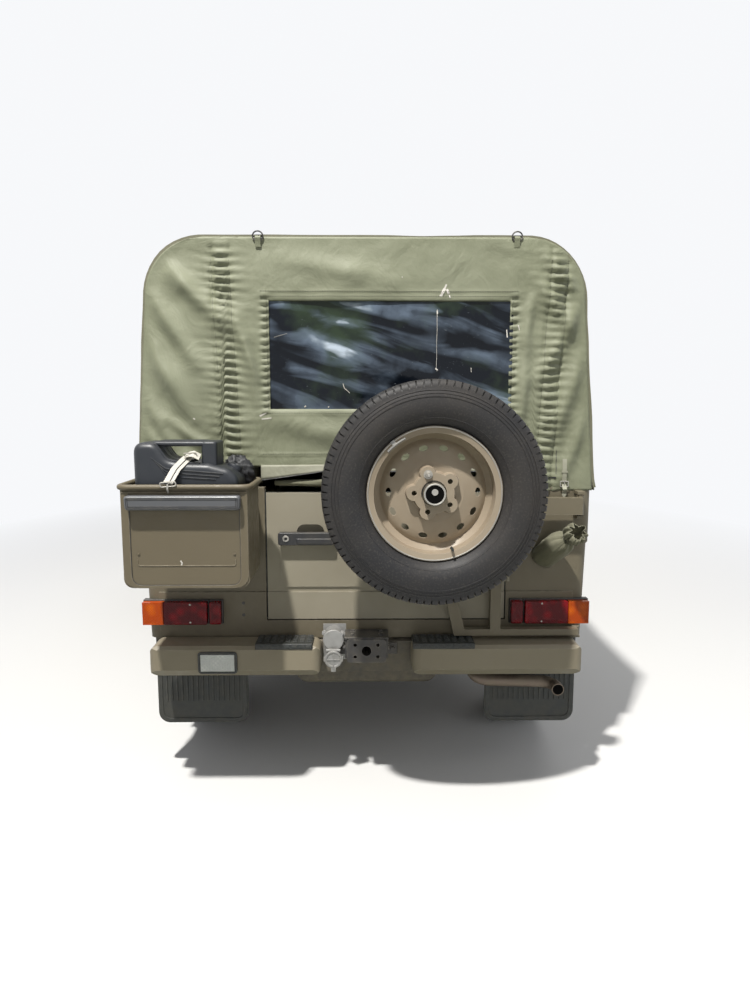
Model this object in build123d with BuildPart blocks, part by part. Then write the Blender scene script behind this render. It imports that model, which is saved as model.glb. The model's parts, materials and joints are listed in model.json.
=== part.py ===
from build123d import *
from math import cos, radians, sin, tan
import os

os.makedirs("parts", exist_ok=True)

# Long-wheelbase army off-road car with a canvas hood, in millimetres
# +Y is forward, +X is the right side and the ground is at Z = 0

# Wheels and axles
WHEELBASE = 2850
TRACK = 1425
REAR_AXLE_Y = -1245
FRONT_AXLE_Y = REAR_AXLE_Y + WHEELBASE
TYRE_R = 370
TYRE_HALF = 110
WHEEL_Z = TYRE_R
RIM_LIP_R = 220
HAND_HOLES = 14
HAND_HOLE_R = 148
STUD_CIRCLE_R = 65
SPINDLE_R = 25
FIT = 0.05

# Chassis frame
RAIL_X = 355
RAIL_WIDTH = 60
RAIL_LOW = 450
RAIL_TOP = 570
RAIL_MID = (RAIL_LOW + RAIL_TOP) / 2
FRAME_REAR = -1890
FRAME_FRONT = 2200

# Body tub
REAR_Y = -1910
WALL = 40
INNER_X = 810
SILL_LOW = 576
SILL_TOP = 622
FLOOR_LOW = 600
FLOOR_TOP = 630
RIB_Z = 943
STEP_Z = 758
STEP = 6
CORNER_R = 34
TUB_TOP = 1160
TUB_X = 855
DOOR_REAR_Y = 85
DOOR_FRONT_Y = 1000
GAP = 7
FIREWALL_Y = 1060
COWL_REAR = 1012
COWL_FRONT = 1118
WING_REAR = 1008
WING_TOP = 1075
PANEL_Y = 2150
PANEL_FRONT = 2185
BUMPER_FRONT = 2345

# Wheel arches are flat-topped: half length at the sill, half length at the top, height of the top
ARCH_LOW = 480
ARCH_HIGH = 240
ARCH_TOP = 845
ARCH_LIP = 16
LIP_X = 830
LIP_DEPTH = 33

# Canvas hood: its sides lean in above the tub
LEAN = 4.2
HOOD_TOP = 2070
HOOD_EDGE = 1850
HOOD_R = 215
CANVAS = 10
HOOD_FRONT = 795
HOOD_KINK = 420
HEADER_TOP = 1960
RAKE = 19.6
PILLAR = 45

# Rear door, spare wheel carrier and jerrycan holder
DOOR_X = (-378, 530)
DOOR_Z = (652, 1140)
CARRIER_HINGE = (800, -1952)
SPARE_X = 221
SPARE_Z = 1185
SPARE_Y = -2234
CARRIER_Y = (-1990, -1957)
HOLDER_X = (-800, -386)
HOLDER_Y = (-2280, -2050)
HOLDER_Z = (870, 1200)


def hood_x(z, inset=0):
    """Half width of the hood at a height, less an inset."""
    return TUB_X - (z - TUB_TOP) * tan(radians(LEAN)) - inset


def cross(y):
    """Plane across the car: X to the right, Y up, facing back."""
    return Plane(origin=(0, y, 0), x_dir=(1, 0, 0), z_dir=(0, -1, 0))


def side(x):
    """Plane along the car: X forward, Y up, facing right."""
    return Plane(origin=(x, 0, 0), x_dir=(0, 1, 0), z_dir=(1, 0, 0))


def block(x, y, z, mode=Mode.ADD):
    """Rectangular bar between two corners, each given as a low and a high value."""
    with Locations(((x[0] + x[1]) / 2, (y[0] + y[1]) / 2, (z[0] + z[1]) / 2)):
        Box(abs(x[1] - x[0]), abs(y[1] - y[0]), abs(z[1] - z[0]), mode=mode)


def arch(axle_y, grow=0, low=0, mode=Mode.ADD):
    """Trapezoid of a wheel arch, grown by some millimetres, open below."""
    Polygon(
        (axle_y - ARCH_LOW - grow, low),
        (axle_y - ARCH_LOW - grow, SILL_LOW),
        (axle_y - ARCH_HIGH - grow / 2, ARCH_TOP + grow),
        (axle_y + ARCH_HIGH + grow / 2, ARCH_TOP + grow),
        (axle_y + ARCH_LOW + grow, SILL_LOW),
        (axle_y + ARCH_LOW + grow, low),
        align=None,
        mode=mode,
    )


def arch_lip(axle_y):
    """Outline of the raised lip round a wheel arch, in a sketch along the car."""
    arch(axle_y, grow=ARCH_LIP, low=SILL_LOW)
    arch(axle_y, mode=Mode.SUBTRACT)


def hood_section(low, top, inset=0):
    """Upright outline of the hood from a height to its roof, before its corners are rounded."""
    Polygon(
        (-hood_x(low, inset), low),
        (hood_x(low, inset), low),
        (hood_x(top, inset), top - inset),
        (-hood_x(top, inset), top - inset),
        align=None,
    )


# Chassis frame: two rails, round cross tubes, a rear beam, spring seats and body mounts
CROSS_TUBES = (-1430, -800, -440, 2050)
MOUNTS = (-1780, -900, -100, 700)
with BuildPart() as chassis_frame:
    with BuildSketch(cross(FRAME_REAR)):
        with Locations((-RAIL_X, RAIL_MID), (RAIL_X, RAIL_MID)):
            Rectangle(RAIL_WIDTH, RAIL_TOP - RAIL_LOW)
    extrude(amount=FRAME_REAR - FRAME_FRONT)
    with BuildSketch(side(-RAIL_X)):
        with Locations(*[(y, RAIL_MID) for y in CROSS_TUBES]):
            Circle(32)
    extrude(amount=2 * RAIL_X)
    block((-450, 450), (FRAME_REAR - 50, FRAME_REAR), (RAIL_LOW, RAIL_TOP))
    for axle_y in (REAR_AXLE_Y, FRONT_AXLE_Y):
        for out in (-1, 1):
            block((out * 360, out * 512), (axle_y - 60, axle_y + 60), (545, 592))
    with BuildSketch(Plane.XY.offset(RAIL_TOP)):
        with Locations(*[(x, y) for x in (-RAIL_X, RAIL_X) for y in MOUNTS]):
            Circle(26)
    extrude(amount=FLOOR_LOW - RAIL_TOP)
chassis_frame.part.label = "chassis_frame"
export_step(chassis_frame.part, "parts/chassis_frame.step")

# Floor with its tunnel and the boxes over the rear wheels
BOX_SKIN = 14
BOX_X = 560
with BuildPart() as floor_pan:
    block((-INNER_X, INNER_X), (REAR_Y + WALL, FIREWALL_Y), (FLOOR_LOW, FLOOR_TOP))
    block((-170, 170), (260, FIREWALL_Y), (FLOOR_LOW, 790))
    block((-150, 150), (280, FIREWALL_Y), (FLOOR_LOW, 770), mode=Mode.SUBTRACT)
    for out in (-1, 1):
        with BuildSketch(side(out * BOX_X)):
            arch(REAR_AXLE_Y, grow=BOX_SKIN * 2, low=FLOOR_LOW)
        extrude(amount=out * (INNER_X - BOX_X))
        with BuildSketch(side(out * (BOX_X + BOX_SKIN))):
            arch(REAR_AXLE_Y, grow=BOX_SKIN)
        extrude(amount=out * INNER_X, mode=Mode.SUBTRACT)
floor_pan.part.label = "floor_pan"
export_step(floor_pan.part, "parts/floor_pan.step")

# Body sides behind the doors, with the sills below the doors and the rear wheel arches
with BuildPart() as side_panels:
    for out in (-1, 1):
        with BuildSketch(cross(REAR_Y + WALL)):
            Polygon(
                (out * INNER_X, SILL_LOW),
                (out * (TUB_X - 17), SILL_LOW),
                (out * (TUB_X - 7), RIB_Z - 4),
                (out * TUB_X, RIB_Z + 4),
                (out * TUB_X, TUB_TOP),
                (out * INNER_X, TUB_TOP),
                align=None,
            )
        extrude(amount=REAR_Y + WALL - DOOR_FRONT_Y)
    with BuildSketch(side(-TUB_X)):
        arch(REAR_AXLE_Y)
        with Locations(((DOOR_REAR_Y + DOOR_FRONT_Y) / 2 - GAP / 2, (SILL_TOP + TUB_TOP) / 2)):
            Rectangle(DOOR_FRONT_Y - DOOR_REAR_Y + GAP, TUB_TOP - SILL_TOP)
    extrude(amount=2 * TUB_X, mode=Mode.SUBTRACT)
    for out in (-1, 1):
        with BuildSketch(side(out * LIP_X)):
            arch_lip(REAR_AXLE_Y)
        extrude(amount=out * LIP_DEPTH)
side_panels.part.label = "side_panels"
export_step(side_panels.part, "parts/side_panels.step")

# Rear wall with rounded corners, a sill and the opening for the rear door
with BuildPart() as rear_panel:
    with BuildSketch(cross(REAR_Y + WALL)):
        Polygon(
            (-TUB_X + 17, SILL_LOW),
            (TUB_X - 17, SILL_LOW),
            (TUB_X - 7, RIB_Z - 4),
            (TUB_X, RIB_Z + 4),
            (TUB_X, TUB_TOP),
            (-TUB_X, TUB_TOP),
            (-TUB_X, RIB_Z + 4),
            (-TUB_X + 7, RIB_Z - 4),
            align=None,
        )
    extrude(amount=WALL)
    upright = [e for e in rear_panel.faces().sort_by(Axis.Y)[0].edges() if e.bounding_box().size.Z > 5]
    fillet(upright, CORNER_R)
    block((-TUB_X + 60, TUB_X - 60), (REAR_Y - STEP, REAR_Y), (SILL_LOW, STEP_Z))
    block(
        (DOOR_X[0] - 6, DOOR_X[1] + 6), (REAR_Y - STEP, REAR_Y + WALL), (DOOR_Z[0] - 6, TUB_TOP), mode=Mode.SUBTRACT
    )
    for low, high in ((1139, 1150), (1047, 1058), (590, 598)):
        block((786, 814), (CARRIER_HINGE[1] - 14, REAR_Y), (low, high))
rear_panel.part.label = "rear_panel"
export_step(rear_panel.part, "parts/rear_panel.step")

# Scuttle: the firewall and the cowl that carries the windscreen
with BuildPart() as scuttle:
    block((-814, 814), (FIREWALL_Y, FIREWALL_Y + 28), (FLOOR_LOW, 1080))
    block((-150, 150), (FIREWALL_Y, FIREWALL_Y + 28), (FLOOR_LOW, 770), mode=Mode.SUBTRACT)
    with BuildSketch(side(-TUB_X)):
        Polygon(
            (COWL_REAR, 1080),
            (COWL_FRONT, 1080),
            (COWL_FRONT, TUB_TOP - 12),
            (COWL_FRONT - 12, TUB_TOP),
            (COWL_REAR, TUB_TOP),
            align=None,
        )
    extrude(amount=2 * TUB_X)
scuttle.part.label = "scuttle"
export_step(scuttle.part, "parts/scuttle.step")

# Front wings: flat top, outer skin with the arch and a rib, inner wall of the engine bay
WING_SKIN = 22
with BuildPart() as wings:
    for out in (-1, 1):
        with BuildSketch(cross(WING_REAR)):
            Polygon(
                (out * (TUB_X - 17 - WING_SKIN), SILL_LOW),
                (out * (TUB_X - 17), SILL_LOW),
                (out * (TUB_X - 7), RIB_Z - 4),
                (out * TUB_X, RIB_Z + 4),
                (out * TUB_X, WING_TOP - 20),
                (out * (TUB_X - 20), WING_TOP),
                (out * (TUB_X - WING_SKIN - 10), WING_TOP),
                (out * (TUB_X - WING_SKIN - 10), SILL_LOW + 200),
                align=None,
            )
        extrude(amount=WING_REAR - PANEL_Y)
        block((out * 420, out * 825), (FIREWALL_Y + 28, PANEL_Y), (WING_TOP - 20, WING_TOP))
        block((out * 420, out * 438), (FIREWALL_Y + 28, PANEL_Y), (FLOOR_LOW, WING_TOP - 20))
        with BuildSketch(side(out * 500)):
            arch(FRONT_AXLE_Y)
        extrude(amount=out * 400, mode=Mode.SUBTRACT)
        with BuildSketch(side(out * LIP_X)):
            arch_lip(FRONT_AXLE_Y)
        extrude(amount=out * LIP_DEPTH)
wings.part.label = "wings"
export_step(wings.part, "parts/wings.step")

# Front panel with the grille bars and round holes for the headlamps
LAMP_X = 452
LAMP_Z = 905
GRILLE_X = 300
GRILLE_Z = (770, 1035)
GRILLE_BARS = 6
with BuildPart() as front_panel:
    with BuildSketch(cross(PANEL_Y)):
        Polygon(
            (-TUB_X + 17, SILL_LOW), (TUB_X - 17, SILL_LOW), (TUB_X, RIB_Z),
            (TUB_X, WING_TOP - 20), (TUB_X - 20, WING_TOP), (-TUB_X + 20, WING_TOP),
            (-TUB_X, WING_TOP - 20), (-TUB_X, RIB_Z),
            align=None,
        )
        with Locations((-LAMP_X, LAMP_Z), (LAMP_X, LAMP_Z)):
            Circle(90, mode=Mode.SUBTRACT)
        with Locations((0, (GRILLE_Z[0] + GRILLE_Z[1]) / 2)):
            Rectangle(2 * GRILLE_X, GRILLE_Z[1] - GRILLE_Z[0], mode=Mode.SUBTRACT)
            with GridLocations(0, (GRILLE_Z[1] - GRILLE_Z[0]) / (GRILLE_BARS + 1), 1, GRILLE_BARS):
                Rectangle(2 * GRILLE_X, 14)
            with GridLocations(GRILLE_X, 0, 2, 1):
                Rectangle(16, GRILLE_Z[1] - GRILLE_Z[0])
    extrude(amount=PANEL_Y - PANEL_FRONT)
    with BuildSketch(cross(PANEL_FRONT)):
        with Locations((0, (GRILLE_Z[0] + GRILLE_Z[1]) / 2)):
            RectangleRounded(2 * GRILLE_X + 44, GRILLE_Z[1] - GRILLE_Z[0] + 44, 20)
            Rectangle(2 * GRILLE_X, GRILLE_Z[1] - GRILLE_Z[0], mode=Mode.SUBTRACT)
    extrude(amount=-10)
front_panel.part.label = "front_panel"
export_step(front_panel.part, "parts/front_panel.step")

# Headlamps in the front panel and the reversing lamp on the rear bumper
BUMPER_REAR = -2055
with BuildPart() as clear_lamps:
    for lamp_x in (-LAMP_X, LAMP_X):
        with BuildSketch(Plane(origin=(lamp_x, PANEL_FRONT, LAMP_Z), x_dir=(0, 1, 0), z_dir=(1, 0, 0))):
            with BuildLine():
                Polyline((22, 0), (-34, 0), (-34, 64), (0, 88), (0, 99), (8, 99), (8, 88))
                TangentArc((22, 0), (8, 88), tangent=(0, 1))
            make_face()
        revolve(axis=Axis((lamp_x, PANEL_FRONT, LAMP_Z), (0, 1, 0)))
    block((-610, -486), (BUMPER_REAR - 8, BUMPER_REAR), (497, 560))
clear_lamps.part.label = "clear_lamps"
export_step(clear_lamps.part, "parts/clear_lamps.step")

# Amber lenses: domes on the wing tops and the outer ends of the tail lamps
TAIL_Z = (640, 727)
TAIL_Y = (REAR_Y - 42, REAR_Y - STEP)
INDICATOR = (745, 2050)
with BuildPart() as amber_lenses:
    for out in (-1, 1):
        with BuildSketch(Plane(origin=(out * INDICATOR[0], INDICATOR[1], WING_TOP), x_dir=(1, 0, 0), z_dir=(0, -1, 0))):
            with BuildLine():
                Polyline((0, 46), (0, 0), (40, 0), (40, 14))
                TangentArc((0, 46), (40, 14), tangent=(1, 0))
            make_face()
        revolve(axis=Axis((out * INDICATOR[0], INDICATOR[1], WING_TOP), (0, 0, 1)))
        block((out * 772, out * 850), TAIL_Y, TAIL_Z)
amber_lenses.part.label = "amber_lenses"
export_step(amber_lenses.part, "parts/amber_lenses.step")

# Red lenses of the tail lamps: a long one beside the amber and a narrow one inboard
with BuildPart() as red_lenses:
    for out in (-1, 1):
        block((out * 606, out * 771), TAIL_Y, TAIL_Z)
        block((out * 553, out * 597), TAIL_Y, TAIL_Z)
red_lenses.part.label = "red_lenses"
export_step(red_lenses.part, "parts/red_lenses.step")

# Bumpers: two halves at the rear, rounded at their ends from behind and from above, and one across the front
BUMPER_Z = (468, 588)
BUMPER_X = 805
REAR_GAP = 170
BUMPER_R = 36
with BuildPart() as bumpers:
    with BuildSketch(side(-BUMPER_X)):
        Polygon(
            (FRAME_REAR - 50, BUMPER_Z[1]),
            (BUMPER_REAR + 12, BUMPER_Z[1]),
            (BUMPER_REAR, BUMPER_Z[1] - 12),
            (BUMPER_REAR, BUMPER_Z[0] + 30),
            (BUMPER_REAR + 30, BUMPER_Z[0]),
            (FRAME_REAR - 50, BUMPER_Z[0]),
            align=None,
        )
    extrude(amount=2 * BUMPER_X)
    with BuildSketch(cross(FRAME_REAR)):
        with GridLocations(BUMPER_X + REAR_GAP, 0, 2, 1):
            with Locations((0, (BUMPER_Z[0] + BUMPER_Z[1]) / 2)):
                RectangleRounded(BUMPER_X - REAR_GAP, BUMPER_Z[1] - BUMPER_Z[0], BUMPER_R)
    extrude(amount=FRAME_REAR - BUMPER_REAR, mode=Mode.INTERSECT)
    with BuildSketch(Plane.XY.offset(BUMPER_Z[0])):
        with GridLocations(BUMPER_X + REAR_GAP, 0, 2, 1):
            with Locations((0, (FRAME_REAR + BUMPER_REAR) / 2)):
                RectangleRounded(BUMPER_X - REAR_GAP, FRAME_REAR - BUMPER_REAR, BUMPER_R)
    extrude(amount=BUMPER_Z[1] - BUMPER_Z[0], mode=Mode.INTERSECT)
    with BuildSketch(side(-BUMPER_X)):
        with Locations(((FRAME_FRONT + BUMPER_FRONT) / 2, 525)):
            Rectangle(BUMPER_FRONT - FRAME_FRONT, 130)
    extrude(amount=2 * BUMPER_X)
    chamfer(bumpers.faces().sort_by(Axis.Y)[-1].edges(), 25)
bumpers.part.label = "bumpers"
export_step(bumpers.part, "parts/bumpers.step")

# Rubber step pads on the rear bumper and the mud flaps behind the rear wheels
FLAP_R = 45
with BuildPart() as rubber_parts:
    for x in ((-410, -200), (172, 400)):
        block(x, (BUMPER_REAR + 14, FRAME_REAR - 60), (BUMPER_Z[1], BUMPER_Z[1] + 10))
    for out in (-1, 1):
        with BuildSketch(cross(-1834)) as flap:
            Polygon((out * 475, SILL_LOW), (out * 835, SILL_LOW), (out * 835, 200), (out * 475, 200), align=None)
            fillet(flap.vertices().group_by(Axis.Y)[0], FLAP_R)
        extrude(amount=10)
rubber_parts.part.label = "rubber_parts"
export_step(rubber_parts.part, "parts/rubber_parts.step")

# Tow coupling: a block on the rear beam with a bore and four bolt holes
TOW_Z = 568
with BuildPart() as tow_coupling:
    with BuildSketch(cross(FRAME_REAR - 50)):
        with Locations((0, TOW_Z)):
            RectangleRounded(146, 88, 12)
            Circle(18, mode=Mode.SUBTRACT)
            with GridLocations(84, 45, 2, 2):
                Circle(6.5, mode=Mode.SUBTRACT)
    extrude(amount=110)
tow_coupling.part.label = "tow_coupling"
export_step(tow_coupling.part, "parts/tow_coupling.step")

# Trailer socket beside the coupling, with its cap hanging open
with BuildPart() as trailer_socket:
    block((-165, -78), (FRAME_REAR - 56, FRAME_REAR - 50), (500, 640))
    with BuildSketch(cross(FRAME_REAR - 56)):
        with Locations((-124, 598)):
            Circle(36)
    extrude(amount=62)
    with BuildSketch(cross(FRAME_REAR - 122)):
        with Locations((-124, 527)):
            Circle(33)
    extrude(amount=12)
    block((-136, -112), (FRAME_REAR - 124, FRAME_REAR - 110), (550, 575))
trailer_socket.part.label = "trailer_socket"
export_step(trailer_socket.part, "parts/trailer_socket.step")

# Axles: beams with a differential housing, the rear one with brake drums, the front one with yokes
KINGPIN_X = 630
KINGPIN_R = 15
FRONT_DIFF_X = -150
NOSE = 150
with BuildPart() as axles:
    for axle_y, diff_x, end_x, nose in ((REAR_AXLE_Y, 0, 640, 1), (FRONT_AXLE_Y, FRONT_DIFF_X, 548, -1)):
        with BuildSketch(Plane(origin=(0, axle_y, WHEEL_Z), x_dir=(1, 0, 0), z_dir=(0, -1, 0))):
            Polygon(
                (-end_x, 0), (-end_x, 42), (diff_x - 150, 42), (diff_x - 90, 112), (diff_x - 35, 132),
                (diff_x + 35, 132), (diff_x + 90, 112), (diff_x + 150, 42), (end_x, 42), (end_x, 0),
                align=None,
            )
        revolve(axis=Axis((0, axle_y, WHEEL_Z), (1, 0, 0)))
        with BuildSketch(Plane(origin=(diff_x, axle_y, WHEEL_Z + 12), x_dir=(1, 0, 0), z_dir=(0, nose, 0))):
            Circle(62)
        extrude(amount=NOSE, taper=6)
    for out in (-1, 1):
        with BuildSketch(Plane(origin=(out * 625, REAR_AXLE_Y, WHEEL_Z), x_dir=(0, 1, 0), z_dir=(out, 0, 0))):
            Circle(130)
        extrude(amount=32)
        with BuildSketch(Plane(origin=(out * 657, REAR_AXLE_Y, WHEEL_Z), x_dir=(0, 1, 0), z_dir=(out, 0, 0))):
            Circle(SPINDLE_R)
        extrude(amount=70)
        block((out * 540, out * 562), (FRONT_AXLE_Y - 42, FRONT_AXLE_Y + 42), (WHEEL_Z - 96, WHEEL_Z + 96))
        for low in (WHEEL_Z - 96, WHEEL_Z + 76):
            with BuildSketch(Plane.XY.offset(low)):
                with Locations((out * 598, FRONT_AXLE_Y)):
                    Rectangle(80, 70)
                with Locations((out * KINGPIN_X, FRONT_AXLE_Y)):
                    Circle(35)
                    Circle(KINGPIN_R + FIT, mode=Mode.SUBTRACT)
            extrude(amount=20)
axles.part.label = "axles"
export_step(axles.part, "parts/axles.step")

# Springs and dampers between the axles and the frame
SPRING_X = 452
TURNS = 6
with BuildPart() as suspension:
    for axle_y in (REAR_AXLE_Y, FRONT_AXLE_Y):
        for out in (-1, 1):
            foot = Plane(origin=(out * SPRING_X, axle_y, 412), x_dir=(1, 0, 0), z_dir=(0, -1, 0))
            pitch = (545 - 412) / TURNS
            with BuildSketch(foot):
                with BuildLine():
                    Polyline((30, 0), (0, 0), (0, 545 - 412), (30, 545 - 412))
                    for turn in range(TURNS):
                        top = 545 - 412 - turn * pitch
                        Polyline((30, top), (52, top - 4), (52, top - pitch + 4), (30, top - pitch))
                make_face()
            revolve(axis=Axis(foot.origin, (0, 0, 1)))
suspension.part.label = "suspension"
export_step(suspension.part, "parts/suspension.step")

# Engine block, gearbox, transfer case and prop shafts
ENGINE_Y = (1150, 1900)
with BuildPart() as powertrain:
    block((-230, 230), ENGINE_Y, (535, 1010))
    with BuildSketch(cross(ENGINE_Y[0])):
        with Locations((0, 545)):
            RectangleRounded(200, 186, 40)
    with BuildSketch(cross(420)):
        with Locations((0, 530)):
            RectangleRounded(150, 150, 30)
    loft()
    block((-235, 110), (60, 300), (420, 585))
    for feet_y, feet_z in ((180, 510), (1520, 550)):
        block((-RAIL_X + RAIL_WIDTH / 2, RAIL_X - RAIL_WIDTH / 2), (feet_y - 35, feet_y + 35), (feet_z - 15, feet_z + 15))
    for start, end, r in (
        ((0, 420, 500), (0, 300, 500), 28),
        ((0, 60, 480), (0, REAR_AXLE_Y + NOSE + 8, WHEEL_Z + 12), 30),
        ((FRONT_DIFF_X, 300, 470), (FRONT_DIFF_X, FRONT_AXLE_Y - NOSE - 8, WHEEL_Z + 12), 26),
    ):
        run = Vector(*end) - Vector(*start)
        with BuildSketch(Plane(origin=start, z_dir=run)):
            Circle(r)
        extrude(amount=run.length)
powertrain.part.label = "powertrain"
export_step(powertrain.part, "parts/powertrain.step")

# Fuel tank between the rails behind the rear axle
with BuildPart() as fuel_tank:
    with BuildSketch(Plane.XY.offset(365)):
        with Locations((0, -1665)):
            RectangleRounded(560, 370, 50)
    extrude(amount=200)
    chamfer(fuel_tank.faces().sort_by(Axis.Z)[0].edges(), 14)
fuel_tank.part.label = "fuel_tank"
export_step(fuel_tank.part, "parts/fuel_tank.step")

# Exhaust: front pipe, silencer and tail pipe
PIPE_R = 23
FRONT_RUN = (
    (205, 1150, 560), (205, 1010, 560), (250, 800, 385), (350, 250, 385), (540, -10, 405), (540, -150, 410),
)
TAIL_RUN = (
    (540, -740, 410), (556, -900, 470), (556, -1480, 470), (425, -1700, 440), (425, -1893, 395),
    (735, -1893, 385), (735, -1975, 385),
)
with BuildPart() as exhaust:
    for run in (FRONT_RUN, TAIL_RUN):
        with BuildLine() as route:
            FilletPolyline(*run, radius=55)
        with BuildSketch(Plane(origin=route.line @ 0, z_dir=route.line % 0)):
            Circle(PIPE_R)
        sweep(path=route.line)
    with BuildSketch(Plane(origin=(540, -150, 415), x_dir=(1, 0, 0), z_dir=(0, -1, 0))):
        Ellipse(85, 68)
    extrude(amount=590)
exhaust.part.label = "exhaust"
export_step(exhaust.part, "parts/exhaust.step")

# Windscreen frame, raked back, and its glass
up_screen = Plane(origin=(0, 1066, TUB_TOP), x_dir=(-1, 0, 0), z_dir=(0, cos(radians(RAKE)), sin(radians(RAKE))))
SCREEN_LEN = (HEADER_TOP - TUB_TOP) / cos(radians(RAKE))
PANE = ((-770, 60), (770, 60), (722, SCREEN_LEN - 62), (-722, SCREEN_LEN - 62))
PANE_R = 50
with BuildPart() as windscreen_frame:
    with BuildSketch(up_screen) as screen_outline:
        Polygon((-TUB_X + 10, -30), (TUB_X - 10, -30), (775, SCREEN_LEN), (-775, SCREEN_LEN), align=None)
        fillet(screen_outline.vertices().group_by(Axis.Y)[-1], 110)
    extrude(amount=-PILLAR)
    with BuildSketch(up_screen) as pane_hole:
        Polygon(*PANE, align=None)
        fillet(pane_hole.vertices(), PANE_R)
    extrude(amount=-PILLAR, mode=Mode.SUBTRACT)
    split(bisect_by=Plane.XY.offset(TUB_TOP), keep=Keep.TOP)
windscreen_frame.part.label = "windscreen_frame"
export_step(windscreen_frame.part, "parts/windscreen_frame.step")

with BuildPart() as windscreen_glass:
    with BuildSketch(up_screen.offset(-12)) as pane:
        Polygon(*PANE, align=None)
        fillet(pane.vertices(), PANE_R)
    extrude(amount=-6)
windscreen_glass.part.label = "windscreen_glass"
export_step(windscreen_glass.part, "parts/windscreen_glass.step")

# Canvas hood: roof with rolled edges, sides, rear curtain
with BuildPart() as hood_roof:
    for inset, low, mode in ((0, HOOD_EDGE, Mode.ADD), (CANVAS, HOOD_EDGE - 10, Mode.SUBTRACT)):
        for y, top, radius in (
            (REAR_Y + 12, HOOD_TOP, HOOD_R), (HOOD_KINK, HOOD_TOP, HOOD_R), (HOOD_FRONT, 1985, 125),
        ):
            with BuildSketch(cross(y)) as band:
                hood_section(low, top, inset)
                fillet(band.vertices().group_by(Axis.Y)[-1], radius - inset)
        loft(ruled=True, mode=mode)
hood_roof.part.label = "hood_roof"
export_step(hood_roof.part, "parts/hood_roof.step")

SIDE_WINDOW = (-1300, -330, 330, 590)
hood_plane = {
    out: Plane(
        origin=(out * TUB_X, 0, TUB_TOP + 2), x_dir=(0, out, 0), z_dir=(out * cos(radians(LEAN)), 0, sin(radians(LEAN)))
    )
    for out in (-1, 1)
}
SIDE_LEN = (HOOD_EDGE - TUB_TOP - 2) / cos(radians(LEAN))
with BuildPart() as hood_sides:
    for out in (-1, 1):
        with BuildSketch(hood_plane[out]):
            Polygon(
                (out * (REAR_Y + 12), 0), (out * (DOOR_REAR_Y - GAP), 0),
                (out * (DOOR_REAR_Y - GAP), SIDE_LEN), (out * (REAR_Y + 12), SIDE_LEN),
                align=None,
            )
            with Locations((out * (SIDE_WINDOW[0] + SIDE_WINDOW[1]) / 2, (SIDE_WINDOW[2] + SIDE_WINDOW[3]) / 2)):
                Rectangle(SIDE_WINDOW[1] - SIDE_WINDOW[0], SIDE_WINDOW[3] - SIDE_WINDOW[2], mode=Mode.SUBTRACT)
        extrude(amount=-CANVAS)
hood_sides.part.label = "hood_sides"
export_step(hood_sides.part, "parts/hood_sides.step")

REAR_WINDOW = (-355, 530, 1454, 1845)
CURTAIN_HEM = 1262
with BuildPart() as hood_rear:
    with BuildSketch(cross(REAR_Y + 12)) as curtain:
        hood_section(TUB_TOP + 2, HOOD_TOP)
        fillet(curtain.vertices().group_by(Axis.Y)[-1], HOOD_R)
        with Locations(((REAR_WINDOW[0] + REAR_WINDOW[1]) / 2, (REAR_WINDOW[2] + REAR_WINDOW[3]) / 2)):
            Rectangle(REAR_WINDOW[1] - REAR_WINDOW[0], REAR_WINDOW[3] - REAR_WINDOW[2], mode=Mode.SUBTRACT)
        with Locations((85, (TUB_TOP + CURTAIN_HEM) / 2)):
            Rectangle(1300, CURTAIN_HEM - TUB_TOP, mode=Mode.SUBTRACT)
    extrude(amount=12)
hood_rear.part.label = "hood_rear"
export_step(hood_rear.part, "parts/hood_rear.step")

with BuildPart() as hood_windows:
    block((REAR_WINDOW[0], REAR_WINDOW[1]), (REAR_Y + 4, REAR_Y + 8), (REAR_WINDOW[2], REAR_WINDOW[3]))
    for out in (-1, 1):
        with BuildSketch(hood_plane[out].offset(-3)):
            with Locations((out * (SIDE_WINDOW[0] + SIDE_WINDOW[1]) / 2, (SIDE_WINDOW[2] + SIDE_WINDOW[3]) / 2)):
                Rectangle(SIDE_WINDOW[1] - SIDE_WINDOW[0], SIDE_WINDOW[3] - SIDE_WINDOW[2])
        extrude(amount=-4)
hood_windows.part.label = "hood_windows"
export_step(hood_windows.part, "parts/hood_windows.step")

# Hood bows: bent tubes that stand on the body sides
BOW_R = 12
BOWS = (-1840, -1180, -520, 40)
with BuildPart() as hood_bows:
    for bow_y in BOWS:
        with BuildLine() as bow:
            FilletPolyline(
                (-hood_x(TUB_TOP, 24), bow_y, TUB_TOP),
                (-hood_x(HOOD_TOP - 28, 24), bow_y, HOOD_TOP - 28),
                (hood_x(HOOD_TOP - 28, 24), bow_y, HOOD_TOP - 28),
                (hood_x(TUB_TOP, 24), bow_y, TUB_TOP),
                radius=HOOD_R - 24,
            )
        with BuildSketch(Plane(origin=bow.line @ 0, z_dir=bow.line % 0)):
            Circle(BOW_R)
        sweep(path=bow.line)
    split(bisect_by=Plane.XY.offset(TUB_TOP), keep=Keep.TOP)
hood_bows.part.label = "hood_bows"
export_step(hood_bows.part, "parts/hood_bows.step")

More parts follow.
